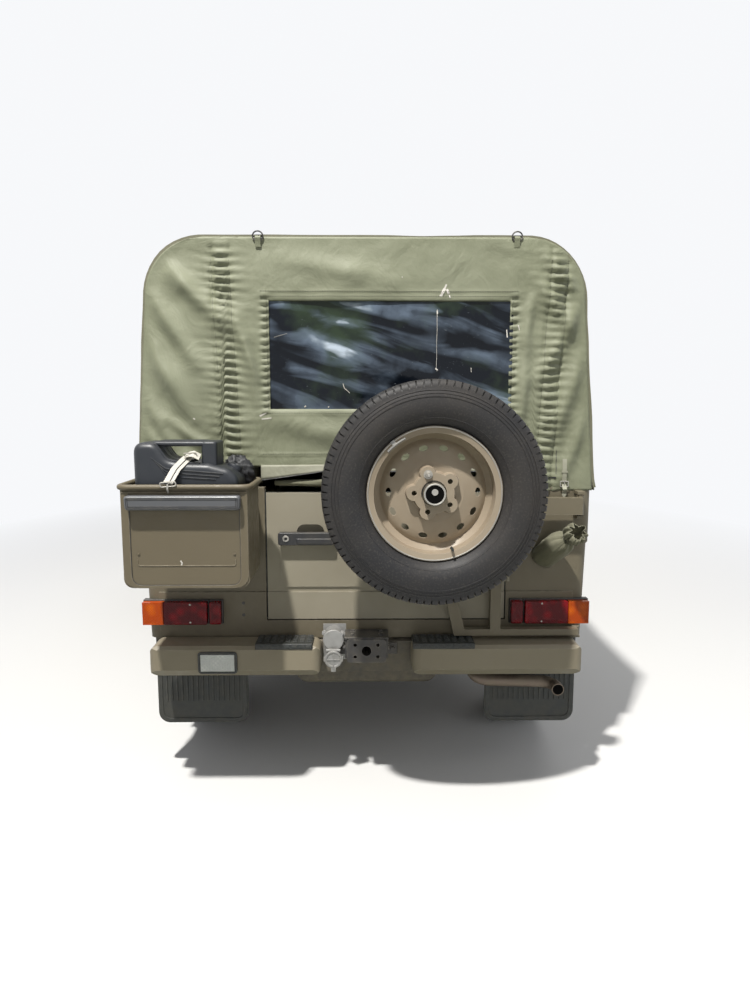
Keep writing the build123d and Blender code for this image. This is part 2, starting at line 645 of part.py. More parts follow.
# Dashboard with the steering column and wheel, on the left
STEER_HUB = (-380, 730, 1150)
STEER_TILT = 32
with BuildPart() as dashboard:
    with BuildSketch(side(-790)):
        Polygon((FIREWALL_Y, 960), (FIREWALL_Y, 1079), (1008, 1079), (1008, 1150), (900, 1150), (850, 1120), (860, 970), align=None)
    extrude(amount=1580)
    rim_plane = Plane(origin=STEER_HUB, x_dir=(1, 0, 0), z_dir=(0, -cos(radians(STEER_TILT)), sin(radians(STEER_TILT))))
    with BuildSketch(Plane(origin=STEER_HUB, x_dir=(1, 0, 0), z_dir=rim_plane.y_dir)):
        with Locations((195, 0)):
            Circle(14)
    revolve(axis=Axis(STEER_HUB, rim_plane.z_dir))
    with BuildSketch(rim_plane.offset(-12)):
        Rectangle(376, 30)
        with Locations((0, -95)):
            Rectangle(34, 176)
        Circle(46)
    extrude(amount=18)
    with BuildSketch(rim_plane):
        Circle(22)
    extrude(amount=-230)
dashboard.part.label = "dashboard"
export_step(dashboard.part, "parts/dashboard.step")

# Seats: two in front, two long benches over the rear wheel boxes
with BuildPart() as seats:
    for seat_x in (-410, 410):
        with BuildSketch(side(seat_x - 235)):
            Polygon(
                (260, FLOOR_TOP), (640, FLOOR_TOP), (640, 830), (690, 850), (680, 940), (310, 950),
                (190, 1440), (110, 1430), (215, 860), (260, 830),
                align=None,
            )
        extrude(amount=470)
    for out in (-1, 1):
        block((out * 480, out * 790), (-1860, -250), (ARCH_TOP + 2 * BOX_SKIN, ARCH_TOP + 2 * BOX_SKIN + 70))
        block((out * 480, out * 520), (-300, -260), (FLOOR_TOP, ARCH_TOP + 2 * BOX_SKIN))
seats.part.label = "seats"
export_step(seats.part, "parts/seats.step")

# Jerrycan holder: an open sheet box with a rim and four arms to the rear wall
SHEET = 5
HOLDER_RIM = 24
HOLDER_R = 30
with BuildPart() as can_holder:
    block(HOLDER_X, HOLDER_Y, HOLDER_Z)
    block(
        (HOLDER_X[0] + SHEET, HOLDER_X[1] - SHEET),
        (HOLDER_Y[0] + SHEET, HOLDER_Y[1] - SHEET),
        (HOLDER_Z[0] + SHEET, HOLDER_Z[1] + SHEET),
        mode=Mode.SUBTRACT,
    )
    fillet(can_holder.edges().filter_by(Axis.Y).group_by(Axis.Z)[0], HOLDER_R)
    fillet(can_holder.edges().filter_by(Axis.Y).group_by(Axis.Z)[1], HOLDER_R - SHEET)
    for x in ((HOLDER_X[0] + 40, HOLDER_X[0] + 40 + HOLDER_RIM), (HOLDER_X[1] - 40 - HOLDER_RIM, HOLDER_X[1] - 40)):
        for low in (HOLDER_Z[0] + 14, HOLDER_Z[1] - HOLDER_RIM):
            block(x, (HOLDER_Y[1], REAR_Y), (low, low + HOLDER_RIM))
can_holder.part.label = "can_holder"
export_step(can_holder.part, "parts/can_holder.step")

# Jerrycan: a flat can with a round shoulder, a long sloping one and three carrying bars
CAN_MID = -593
CAN_HALF = 172
CAN_Y = (-2252, -2090)
CAN_LOW = HOLDER_Z[0] + SHEET
CAN_SHOULDER = 1306
CAN_EDGE = 26
with BuildPart() as jerrycan:
    with BuildSketch(cross(CAN_Y[1])) as can_front:
        Polygon(
            (CAN_MID - CAN_HALF, CAN_LOW), (CAN_MID + CAN_HALF, CAN_LOW),
            (CAN_MID + CAN_HALF, CAN_SHOULDER - 95), (CAN_MID + CAN_HALF - 110, CAN_SHOULDER),
            (CAN_MID - CAN_HALF, CAN_SHOULDER),
            align=None,
        )
        fillet(can_front.vertices().group_by(Axis.Y)[0], CAN_EDGE + 6)
        fillet(can_front.vertices().sort_by(Axis.X)[-1], 60)
        fillet(can_front.vertices().group_by(Axis.Y)[-1].sort_by(Axis.X)[-1], 60)
        fillet(can_front.vertices().group_by(Axis.Y)[-1].sort_by(Axis.X)[0], 42)
    extrude(amount=CAN_Y[1] - CAN_Y[0])
    fillet(jerrycan.faces().sort_by(Axis.Y)[0].edges() + jerrycan.faces().sort_by(Axis.Y)[-1].edges(), CAN_EDGE)
    for bar_y in (CAN_Y[0] + 40, (CAN_Y[0] + CAN_Y[1]) / 2 + 8, CAN_Y[1] - 24):
        with BuildSketch(cross(bar_y)):
            Polygon(
                (CAN_MID - 130, CAN_SHOULDER - 8), (CAN_MID + 70, CAN_SHOULDER - 8),
                (CAN_MID + 45, CAN_SHOULDER + 46), (CAN_MID - 105, CAN_SHOULDER + 46),
                align=None,
            )
            with Locations((CAN_MID - 30, CAN_SHOULDER + 10)):
                Rectangle(130, 36, mode=Mode.SUBTRACT)
        extrude(amount=16)
jerrycan.part.label = "jerrycan"
export_step(jerrycan.part, "parts/jerrycan.step")

# Canvas sleeve tied over the aerial base on the right rear corner
SLEEVE_FOOT = Vector(683, REAR_Y, 900)
SLEEVE_TIP = Vector(743, REAR_Y - 165, 1006)
with BuildPart() as aerial_cover:
    along = (SLEEVE_TIP - SLEEVE_FOOT).normalized()
    with BuildSketch(Plane(origin=SLEEVE_FOOT - along * 60, z_dir=along)):
        Circle(47)
    with BuildSketch(Plane(origin=SLEEVE_TIP, z_dir=along)):
        Circle(30)
    loft()
    split(bisect_by=cross(REAR_Y), keep=Keep.TOP)
aerial_cover.part.label = "aerial_cover"
export_step(aerial_cover.part, "parts/aerial_cover.step")

# Bonnet: a shallow lid with a crowned top that narrows and drops towards the grille
BONNET_LOW = WING_TOP + 5
BONNET_SKIN = 16
with BuildPart() as bonnet:
    for inset, mode in ((0, Mode.ADD), (BONNET_SKIN, Mode.SUBTRACT)):
        for y, half, edge, top in ((COWL_FRONT + GAP + inset, 615, 1132, 1178), (2178 - inset, 598, 1100, 1134)):
            with BuildSketch(cross(y)):
                Polygon(
                    (-half + inset, BONNET_LOW - inset), (half - inset, BONNET_LOW - inset),
                    (half - inset, edge - inset / 2), (half - 55, top - inset),
                    (-half + 55, top - inset), (-half + inset, edge - inset / 2),
                    align=None,
                )
        loft(mode=mode)
bonnet.part.label = "bonnet"
export_step(bonnet.part, "parts/bonnet.step")

# Front doors: pressed panel below, window frame above that leans with the hood, handle and mirror
DOOR_LOW = SILL_TOP + 6
FRAME_SKIN = 24
FRAME_LEN = (HOOD_EDGE - GAP - TUB_TOP - 2) / cos(radians(LEAN))


def door_front(t, inset):
    """Front edge of the door frame beside the raked pillar, at a height along the frame."""
    return min(DOOR_FRONT_Y, 1010 - t * tan(radians(RAKE))) - inset


for name, out in (("left", -1), ("right", 1)):
    with BuildPart() as door:
        with BuildSketch(cross(DOOR_REAR_Y)):
            Polygon(
                (out * (INNER_X + 1), DOOR_LOW),
                (out * (TUB_X - 16), DOOR_LOW),
                (out * (TUB_X - 7), RIB_Z - 4),
                (out * TUB_X, RIB_Z + 4),
                (out * TUB_X, TUB_TOP - 3),
                (out * (INNER_X + 1), TUB_TOP - 3),
                align=None,
            )
        extrude(amount=DOOR_REAR_Y - DOOR_FRONT_Y)
        with BuildSketch(hood_plane[out]):
            Polygon(
                (out * DOOR_REAR_Y, -25), (out * DOOR_FRONT_Y, -25), (out * DOOR_FRONT_Y, 20),
                (out * door_front(FRAME_LEN, 0), FRAME_LEN), (out * DOOR_REAR_Y, FRAME_LEN),
                align=None,
            )
            Polygon(
                (out * (DOOR_REAR_Y + 45), 30), (out * door_front(30, 50), 30),
                (out * door_front(FRAME_LEN - 40, 50), FRAME_LEN - 40), (out * (DOOR_REAR_Y + 45), FRAME_LEN - 40),
                align=None,
                mode=Mode.SUBTRACT,
            )
        extrude(amount=-FRAME_SKIN)
        block((out * TUB_X, out * (TUB_X + 26)), (140, 262), (985, 1012))
        block((out * (TUB_X - 4), out * 905), (938, 958), (1108, 1128))
        block((out * 885, out * 1042), (932, 966), (1108, 1318))
    door.part.label = f"door_{name}"
    export_step(door.part, f"parts/door_{name}.step")

    with BuildPart() as door_glass:
        with BuildSketch(hood_plane[out].offset(-9)):
            Polygon(
                (out * (DOOR_REAR_Y + 45), 30), (out * door_front(30, 50), 30),
                (out * door_front(FRAME_LEN - 40, 50), FRAME_LEN - 40), (out * (DOOR_REAR_Y + 45), FRAME_LEN - 40),
                align=None,
            )
        extrude(amount=-5)
    door_glass.part.label = f"door_glass_{name}"
    export_step(door_glass.part, f"parts/door_glass_{name}.step")

# Rear door with its raised lower panel, a handle over a finger recess and hinge barrels on the right
DOOR_HINGE = (541, -1920)
with BuildPart() as rear_door:
    block(DOOR_X, (REAR_Y - 2, REAR_Y + WALL), DOOR_Z)
    block((DOOR_X[0] + 52, DOOR_X[1] - 30), (REAR_Y - 8, REAR_Y), (779, 945))
    block((DOOR_X[0], DOOR_X[1]), (REAR_Y - 8, REAR_Y), (DOOR_Z[0], STEP_Z))
    with BuildSketch(cross(REAR_Y + 14)):
        with Locations((-212, 985)):
            RectangleRounded(104, 70, 30)
    extrude(amount=16, mode=Mode.SUBTRACT)
    block((-328, -127), (REAR_Y - 34, REAR_Y - 16), (950, 990))
    for x in ((-328, -264), (-160, -127)):
        block(x, (REAR_Y - 34, REAR_Y), (950, 990))
    for low in (800, 1000):
        block((500, DOOR_HINGE[0]), (DOOR_HINGE[1] - 6, REAR_Y - 2), (low, low + 55))
        with BuildSketch(Plane.XY.offset(low)):
            with Locations(DOOR_HINGE):
                Circle(8)
        extrude(amount=55)
rear_door.part.label = "rear_door"
export_step(rear_door.part, "parts/rear_door.step")

# Swing-away spare wheel carrier: arm, bars, hub plate and a spindle with its flange
BOSS_IN = 43
FLANGE_Y = SPARE_Y - BOSS_IN
SPINDLE_END = 80
with BuildPart() as spare_carrier:
    with BuildSketch(cross(CARRIER_Y[1])):
        with Locations(((SPARE_X + CARRIER_HINGE[0]) / 2, 1098)):
            Rectangle(CARRIER_HINGE[0] - SPARE_X, 63)
        with Locations(((330 + CARRIER_HINGE[0]) / 2, 618)):
            Rectangle(CARRIER_HINGE[0] - 330, 24)
        Polygon((466, 610), (505, 610), (505, 1100), (466, 1100), align=None)
        Polygon((330, 606), (374, 606), (262, 1110), (216, 1110), align=None)
        with Locations((SPARE_X, SPARE_Z)):
            Circle(108)
    extrude(amount=CARRIER_Y[1] - CARRIER_Y[0])
    with BuildSketch(cross(CARRIER_Y[0])):
        with Locations((SPARE_X, SPARE_Z)):
            Circle(38)
    extrude(amount=CARRIER_Y[0] - SPARE_Y + SPINDLE_END)
    with BuildSketch(cross(FLANGE_Y + 14)):
        with Locations((SPARE_X, SPARE_Z)):
            Circle(56)
    extrude(amount=14)
    with BuildSketch(cross(SPARE_Y - SPINDLE_END + 30)):
        with Locations((SPARE_X, SPARE_Z)):
            Circle(27)
            RegularPolygon(20, 6, mode=Mode.SUBTRACT)
    extrude(amount=30, mode=Mode.SUBTRACT)
    for low, high in ((1061, 1136), (601, 633)):
        with BuildSketch(Plane.XY.offset(low)):
            with Locations(CARRIER_HINGE):
                Circle(14)
        extrude(amount=high - low)
spare_carrier.part.label = "spare_carrier"
export_step(spare_carrier.part, "parts/spare_carrier.step")

# Steering knuckles: kingpin, hub post, spindle and steering arm
for name, out in (("left", -1), ("right", 1)):
    pin_x = out * KINGPIN_X
    with BuildPart() as knuckle:
        for low, high, r in ((WHEEL_Z - 71, WHEEL_Z + 71, 44), (WHEEL_Z - 100, WHEEL_Z + 100, KINGPIN_R)):
            with BuildSketch(Plane.XY.offset(low)):
                with Locations((pin_x, FRONT_AXLE_Y)):
                    Circle(r)
            extrude(amount=high - low)
        for length, r in ((42, 50), (110, SPINDLE_R)):
            with BuildSketch(Plane(origin=(pin_x, FRONT_AXLE_Y, WHEEL_Z), x_dir=(0, 1, 0), z_dir=(out, 0, 0))):
                Circle(r)
            extrude(amount=length)
        block((pin_x - out * 34, pin_x + out * 4), (FRONT_AXLE_Y - 150, FRONT_AXLE_Y), (WHEEL_Z - 66, WHEEL_Z - 46))
    knuckle.part.label = f"knuckle_{name}"
    export_step(knuckle.part, f"parts/knuckle_{name}.step")


def wheel_plane(centre, outboard):
    """Section plane of a wheel: X along the axle to the outside, Y up."""
    return Plane(origin=centre, x_dir=outboard, z_dir=(outboard[1], -outboard[0], 0))


# Wheels and the spare: centre, direction of the outside, whether it has a hub on a spindle
WHEELS = (
    ("front_left", (-TRACK / 2, FRONT_AXLE_Y, WHEEL_Z), (-1, 0, 0), True),
    ("front_right", (TRACK / 2, FRONT_AXLE_Y, WHEEL_Z), (1, 0, 0), True),
    ("rear_left", (-TRACK / 2, REAR_AXLE_Y, WHEEL_Z), (-1, 0, 0), True),
    ("rear_right", (TRACK / 2, REAR_AXLE_Y, WHEEL_Z), (1, 0, 0), True),
    ("spare", (SPARE_X, SPARE_Y, SPARE_Z), (0, -1, 0), False),
)
# Outer side of the rim, from the inner lip to the outer lip: distance along the axle, radius
RIM_OUTER = (
    (-78, RIM_LIP_R), (-72, RIM_LIP_R), (-70, 204), (-52, 203), (-38, 183), (-4, 183), (14, 203), (70, 204),
    (72, RIM_LIP_R), (78, RIM_LIP_R),
)
RIM_INNER = ((78, 214), (75, 197), (18, 196), (0, 176), (-42, 176), (-56, 196), (-75, 197), (-78, 214))
# Bowl of the wheel disc, from the rim in to the boss and back
DISC = (
    (-14, 178), (0, 178), (11, 164), (17, 144), (21, 118), (24, 100), (24, 60), (17, 60), (17, 99), (14, 117),
    (10, 142), (4, 159), (-4, 168), (-14, 168),
)
# Lobed boss in the middle of the disc, one lobe for each wheel stud: radius of its middle and of a lobe
BOSS_OUT = 50
BOSS_R = 72
LOBE_R = 30
SHEET_WHEEL = 7
for name, centre, outboard, has_hub in WHEELS:
    section = wheel_plane(centre, outboard)
    with BuildPart() as rim:
        with BuildSketch(section):
            Polygon(*RIM_OUTER, *RIM_INNER, align=None)
            Polygon(*DISC, align=None)
        revolve(axis=Axis(centre, outboard))
        with BuildSketch(Plane(origin=centre, x_dir=section.z_dir, z_dir=outboard)):
            with PolarLocations(HAND_HOLE_R, HAND_HOLES):
                Ellipse(9, 15)
        extrude(amount=60, mode=Mode.SUBTRACT)
        for inset, low, high, mode in (
            (0, 20, BOSS_OUT, Mode.ADD), (SHEET_WHEEL, 20 - SHEET_WHEEL, BOSS_IN, Mode.SUBTRACT),
        ):
            with BuildSketch(Plane(origin=section.origin + section.x_dir * low, x_dir=section.z_dir, z_dir=outboard)):
                Circle(BOSS_R - inset)
                with PolarLocations(STUD_CIRCLE_R, 5):
                    Circle(LOBE_R - inset)
            extrude(amount=high - low, taper=9, mode=mode)
        with BuildSketch(Plane(origin=section.origin + section.x_dir * BOSS_IN, x_dir=section.z_dir, z_dir=outboard)):
            Circle(42)
            if not has_hub:
                with PolarLocations(STUD_CIRCLE_R, 5):
                    Circle(8.5)
        extrude(amount=BOSS_OUT - BOSS_IN, mode=Mode.SUBTRACT)
        if has_hub:
            with BuildSketch(section):
                Polygon(
                    (-33, SPINDLE_R + FIT), (30, SPINDLE_R + FIT), (30, 0), (76, 0), (76, 24), (68, 34),
                    (BOSS_OUT, 34), (BOSS_OUT, 44), (BOSS_IN, 44), (BOSS_IN, 40), (-33, 40),
                    align=None,
                )
            revolve(axis=Axis(centre, outboard))
            with BuildSketch(Plane(origin=section.origin + section.x_dir * 49, x_dir=section.z_dir, z_dir=outboard)):
                with PolarLocations(STUD_CIRCLE_R, 5):
                    RegularPolygon(11, 6)
            extrude(amount=14)
    rim.part.label = f"rim_{name}"
    export_step(rim.part, f"parts/rim_{name}.step")

    with BuildPart() as tyre:
        with BuildSketch(section):
            with BuildLine():
                for end in (-1, 1):
                    ThreePointArc((end * 71.5, 222), (end * TYRE_HALF, 282), (end * 97, 346))
                    ThreePointArc((end * 97, 346), (end * 92, 360), (end * 78, 367))
                    ThreePointArc((end * 62, 222), (end * 88, 285), (end * 72, 342))
                    Polyline((end * 71.5, 222), (end * 69.5, 204.4), (end * 56, 204.4), (end * 62, 222))
                ThreePointArc((-78, 367), (0, TYRE_R), (78, 367))
                Line((-72, 342), (72, 342))
            make_face()
        revolve(axis=Axis(centre, outboard))
    tyre.part.label = f"tyre_{name}"
    export_step(tyre.part, f"parts/tyre_{name}.step")
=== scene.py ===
import json
from math import cos, exp, hypot, pi, radians, sin, tan

import bmesh
import bpy
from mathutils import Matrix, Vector, noise


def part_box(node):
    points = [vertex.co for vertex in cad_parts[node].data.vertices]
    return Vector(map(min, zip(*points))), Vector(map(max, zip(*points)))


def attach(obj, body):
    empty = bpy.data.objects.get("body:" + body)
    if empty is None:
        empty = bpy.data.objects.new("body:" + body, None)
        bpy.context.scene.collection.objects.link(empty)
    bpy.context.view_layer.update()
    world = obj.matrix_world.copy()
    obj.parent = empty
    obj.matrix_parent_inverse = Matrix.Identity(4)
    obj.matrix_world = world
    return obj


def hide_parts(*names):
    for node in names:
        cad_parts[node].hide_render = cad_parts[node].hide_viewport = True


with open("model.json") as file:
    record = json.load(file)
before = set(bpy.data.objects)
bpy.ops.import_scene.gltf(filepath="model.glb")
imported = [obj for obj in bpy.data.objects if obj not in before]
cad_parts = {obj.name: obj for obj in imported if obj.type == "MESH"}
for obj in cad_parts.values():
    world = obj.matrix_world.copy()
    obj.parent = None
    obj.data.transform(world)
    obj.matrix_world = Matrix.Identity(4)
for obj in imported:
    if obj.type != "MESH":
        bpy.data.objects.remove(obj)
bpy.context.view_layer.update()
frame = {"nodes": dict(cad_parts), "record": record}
nodes = frame["nodes"]
scene = bpy.context.scene

# Sizes of the car, in metres: +Y is forward, +X is the right side, the ground is at Z = 0
REAR_Y = -1.91
TUB_X = 0.855
TUB_TOP = 1.16
DOOR_REAR_Y = 0.085
PANEL_FRONT = 2.185
BUMPER_REAR = -2.055
# The hood: lean of its sides, its top, the radius of its upper corners and the height of its hem
LEAN = radians(4.2)
HOOD_TOP = 2.07
HOOD_R = 0.215
HOOD_HEM = 1.148
# Where the roof begins to drop, how far it has dropped at its front end, and the places of its bows
HOOD_KINK = 0.42
HOOD_DROP = 0.085
HOOD_FRONT = 0.795
BOWS = (-1.84, -1.18, -0.52, 0.04, 0.79)
SIDE_WINDOW_Y = (-1.3, -0.33)
SIDE_WINDOW_Z = (1.491, 1.75)
REAR_WINDOW_X = (-0.355, 0.53)
REAR_WINDOW_Z = (1.454, 1.845)
CURTAIN_Y = REAR_Y + 0.006
ENGINE_REAR, ENGINE_FRONT = 1.15, 1.9
AXLES = (-1.245, 1.605)
SPARE = Vector([(a + b) / 2 for a, b in zip(*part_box("tyre_spare"))])
SIDES = (-1, 1)
RIGHT, AHEAD, BACK, UP = (1, 0, 0), (0, 1, 0), (0, -1, 0), (0, 0, 1)


# Shapes are pairs of points and faces, in the car's frame


def box(x, y, z):
    """Bar between two corners, each given as a low and a high value."""
    points = [(i, j, k) for i in x for j in y for k in z]
    return points, [(0, 1, 3, 2), (4, 6, 7, 5), (0, 4, 5, 1), (2, 3, 7, 6), (0, 2, 6, 4), (1, 5, 7, 3)]


def side_box(out, x, y, z):
    """Bar on one side of the car: x is its near and its far distance from the middle."""
    return box(sorted((out * x[0], out * x[1])), y, z)


def fin(x, half, y, z):
    """Thin bar about an x."""
    return box((x - half, x + half), y, z)


def across(axis):
    """Two directions at right angles to an axis."""
    axis = Vector(axis).normalized()
    first = axis.cross(Vector(UP) if abs(axis.z) < 0.9 else Vector(AHEAD)).normalized()
    return first, axis.cross(first)


def turns(count):
    """Angles that part a full turn evenly."""
    return [2 * pi * i / count for i in range(count)]


def round_about(centre, radius, turn):
    """Point on an upright circle across the car."""
    return Vector((centre[0] + radius * cos(turn), centre[1], centre[2] + radius * sin(turn)))


def circle(radius, sides, wide=1.0, tall=1.0):
    """Round section, or an oval one where it is scaled."""
    return [(radius * cos(t) * wide, radius * sin(t) * tall) for t in turns(sides)]


def loft(rings, caps=True, closed=False):
    """Skin over rings of equally many points, with flat ends or joined end to end."""
    count = len(rings[0])
    points = [p for ring in rings for p in ring]
    faces = []
    for i in range(len(rings) if closed else len(rings) - 1):
        a, b = i * count, (i + 1) % len(rings) * count
        faces += [(a + j, a + (j + 1) % count, b + (j + 1) % count, b + j) for j in range(count)]
    if caps and not closed:
        faces += [tuple(reversed(range(count))), tuple(range(len(points) - count, len(points)))]
    return points, faces


def lathe(profile, centre, axis, steps=40, caps=True):
    """Turned shape: the profile is (distance along the axis, radius) pairs."""
    centre, axis = Vector(centre), Vector(axis).normalized()
    u, v = across(axis)
    rings = [[centre + axis * a + (u * cos(t) + v * sin(t)) * r for t in turns(steps)] for a, r in profile]
    return loft(rings, caps)


def disc(centre, axis, radius, height, steps, low=0):
    """Plain round bar or disc."""
    return lathe([(low, radius), (height, radius)], centre, axis, steps)


def nut(centre, axis, radius, height):
    """Hexagon head with a chamfered top and a washer under it."""
    head = lathe([(height * 0.2, radius), (height * 0.9, radius), (height, radius * 0.86)], centre, axis, 6)
    return [head, disc(centre, axis, radius * 1.3, height * 0.2, 16)]


def nuts(places, axis, radius, height):
    """Equal nuts at several places."""
    return [shape for place in places for shape in nut(place, axis, radius, height)]


def rounded(points, radius, closed=False, steps=6):
    """The line through some points with its corners rounded."""
    points = [Vector(p) for p in points]
    out = []
    for i, p in enumerate(points):
        if not closed and i in (0, len(points) - 1):
            out.append(p)
            continue
        a, b = points[i - 1] - p, points[(i + 1) % len(points)] - p
        cut = min(radius / tan(a.angle(b) / 2), a.length * 0.49, b.length * 0.49)
        start, end = p + a.normalized() * cut, p + b.normalized() * cut
        for k in range(steps + 1):
            t = k / steps
            out.append(start * (1 - t) ** 2 + p * 2 * t * (1 - t) + end * t * t)
    return out


def sweep(path, section, closed=False, up=None):
    """Sweeps a section of (sideways, upward) pairs along a path; up holds its upward side."""
    path = [Vector(p) for p in path]
    rings, side = [], None
    for i, p in enumerate(path):
        if closed:
            run = path[(i + 1) % len(path)] - path[i - 1]
        else:
            run = path[min(i + 1, len(path) - 1)] - path[max(i - 1, 0)]
        run = run.normalized()
        if up is not None:
            side = run.cross(Vector(up)).normalized()
        elif side is None:
            side = across(run)[0]
        else:
            side = (side - run * side.dot(run)).normalized()
        top = side.cross(run)
        rings.append([p + side * a + top * b for a, b in section])
    return loft(rings, closed=closed)


def tube(path, radius, sides=8, closed=False):
    return sweep(path, circle(radius, sides), closed)


def hoop(centre, radius, wire, sides, count):
    """Wire ring that stands upright across the car."""
    return tube([round_about(centre, radius, t) for t in turns(count)], wire, sides, True)


def pipe(points, corner, radius, sides=8, closed=False):
    """Tube through some points with rounded corners."""
    return tube(rounded(points, corner, closed), radius, sides, closed)


def ribbon(path, width, thickness, up=BACK, closed=False):
    """Flat strap whose broad side faces up."""
    w, t = width / 2, thickness / 2
    return sweep(path, [(-w, -t), (w, -t), (w, t), (-w, t)], closed, up)


def round_box(x, y, z, radius):
    """Upright bar with rounded vertical edges."""
    corners = [(x[0], y[0], 0), (x[1], y[0], 0), (x[1], y[1], 0), (x[0], y[1], 0)]
    outline = rounded(corners, radius, True, 4)
    return loft([[Vector((p.x, p.y, h)) for p in outline] for h in z])


def upright(pairs, corner=0.0, y=0):
    """Closed line from (x, z) pairs, with its corners rounded where a radius is given."""
    points = [Vector((x, y, z)) for x, z in pairs]
    return rounded(points, corner, True) if corner else points


def oblong(x, z):
    """The four corners of an upright oblong, as (x, z) pairs."""
    return [(x[0], z[0]), (x[1], z[0]), (x[1], z[1]), (x[0], z[1])]


def plate(outline, y, depth):
    """Upright plate across the car, from its closed outline."""
    return loft([[Vector((p.x, y + d, p.z)) for p in outline] for d in (0, depth)])


def inset_line(points, inset):
    """Closed upright line moved inwards by some metres."""
    out = []
    for i, p in enumerate(points):
        run = (points[(i + 1) % len(points)] - points[i - 1]).normalized()
        out.append(Vector((p.x - run.z * inset, 0, p.z + run.x * inset)))
    return out


def grid(columns, rows, place, keep=None):
    """Sheet of quads: place gives a point for each pair of values, keep says which quads stay."""
    points = [place(a, b) for b in rows for a in columns]
    n = len(columns)
    faces = []
    for j in range(len(rows) - 1):
        for i in range(n - 1):
            middle = (columns[i] + columns[i + 1]) / 2, (rows[j] + rows[j + 1]) / 2
            if keep is None or keep(*middle):
                faces.append((j * n + i, j * n + i + 1, (j + 1) * n + i + 1, (j + 1) * n + i))
    return points, faces


def stops(low, high, step, *exact):
    """Values from low to high about a step apart, with some exact ones among them."""
    marks = sorted({low, high, *exact})
    out = []
    for a, b in zip(marks, marks[1:]):
        count = max(1, round((b - a) / step))
        out += [a + (b - a) * i / count for i in range(count)]
    return out + [high]


def row(start, step, count):
    """Values that lie a step apart."""
    return [start + step * i for i in range(count)]


def make(name, shapes, finish, body="car", bevel=0, turn=35):
    """Joins shapes into one piece with a finish, and lets it ride on a body."""
    if isinstance(shapes, tuple):
        shapes = [shapes]
    points, faces = [], []
    for shape_points, shape_faces in shapes:
        start = len(points)
        points += shape_points
        faces += [tuple(i + start for i in face) for face in shape_faces]
    mesh = bpy.data.meshes.new(name)
    mesh.from_pydata([tuple(p) for p in points], [], faces)
    bm = bmesh.new()
    bm.from_mesh(mesh)
    bmesh.ops.delete(bm, geom=[v for v in bm.verts if not v.link_faces], context="VERTS")
    bmesh.ops.recalc_face_normals(bm, faces=bm.faces)
    bm.to_mesh(mesh)
    bm.free()
    mesh.shade_smooth()
    mesh.set_sharp_from_angle(angle=radians(turn))
    piece = bpy.data.objects.new(name, mesh)
    scene.collection.objects.link(piece)
    mesh.materials.append(finish)
    if bevel:
        soften(piece, bevel)
    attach(piece, body)
    return piece


def soften(piece, width):
    """Rounds a piece's sharp edges a little and shades its flats flat."""
    edge = piece.modifiers.new("edges", "BEVEL")
    edge.width = width
    edge.segments = 2
    edge.limit_method = "ANGLE"
    edge.angle_limit = radians(32)
    edge.harden_normals = False
    piece.modifiers.new("normals", "WEIGHTED_NORMAL").keep_sharp = True


def thicken(piece, thickness):
    """Gives a thin sheet its thickness, half to each side."""
    skin = piece.modifiers.new("thickness", "SOLIDIFY")
    skin.thickness = thickness
    skin.offset = 0


def cloth(name, shape, finish, thickness, turn=180, flat=lambda p: (p.x, p.z)):
    """Sheet of cloth with some thickness and its flat coordinates in metres."""
    piece = make(name, shape, finish, turn=turn)
    layer = piece.data.uv_layers.new(name="flat")
    for loop in piece.data.loops:
        layer.data[loop.index].uv = flat(piece.data.vertices[loop.vertex_index].co)
    if thickness:
        thicken(piece, thickness)
    return piece


# Finishes


class Shading:
    """A node tree with short ways to add the nodes that the finishes are made of."""

    def node(self, kind, inputs=(), **settings):
        """Adds a node, with inputs as (socket, value or output) pairs and its own settings."""
        node = self.tree.nodes.new("ShaderNode" + kind)
        for key, value in settings.items():
            setattr(node, key, value)
        for socket, value in inputs:
            if isinstance(value, bpy.types.NodeSocket):
                self.tree.links.new(value, node.inputs[socket])
            else:
                node.inputs[socket].default_value = value
        return node

    def place(self, kind="Object"):
        return self.node("TexCoord").outputs[kind]

    def split(self, vector):
        return self.node("SeparateXYZ", (("Vector", vector),)).outputs

    def cloud(self, place, scale, detail, distortion=0.0):
        """Cloudy noise at a scale, as a value about one half."""
        inputs = (("Vector", place), ("Scale", scale), ("Detail", detail), ("Distortion", distortion))
        return self.node("TexNoise", inputs).outputs["Fac"]

    def math(self, operation, a, b=0.0):
        return self.node("Math", ((0, a), (1, b)), operation=operation).outputs[0]

    def times(self, a, b):
        return self.math("MULTIPLY", a, b)

    def plus(self, a, b):
        return self.math("ADD", a, b)

    def wave(self, value, rate):
        return self.math("SINE", self.times(value, rate))

    def mix(self, factor, a, b, blend="MIX"):
        """Colour mix of two colours or outputs."""
        colours = [c if isinstance(c, bpy.types.NodeSocket) else (*c, 1) for c in (a, b)]
        inputs = ((0, factor), (6, colours[0]), (7, colours[1]))
        return self.node("Mix", inputs, data_type="RGBA", blend_type=blend).outputs[2]

    def span(self, value, low, high, to_low=0.0, to_high=1.0):
        """Maps a value from one range to another, clamped."""
        limits = (("From Min", low), ("From Max", high), ("To Min", to_low), ("To Max", to_high))
        return self.node("MapRange", (("Value", value), *limits)).outputs["Result"]

    def relief(self, height, strength, distance, under=None):
        """Bump from a height, over the normal of a coarser one."""
        inputs = (("Height", height), ("Strength", strength), ("Distance", distance))
        return self.node("Bump", inputs + ((("Normal", under),) if under else ())).outputs[0]

    def seen_ray(self):
        """One for camera, mirror and glass rays, nought for those that only light things."""
        rays = self.node("LightPath").outputs
        seen = self.math("MAXIMUM", rays["Is Camera Ray"], rays["Is Glossy Ray"])
        return self.math("MAXIMUM", seen, rays["Is Transmission Ray"])


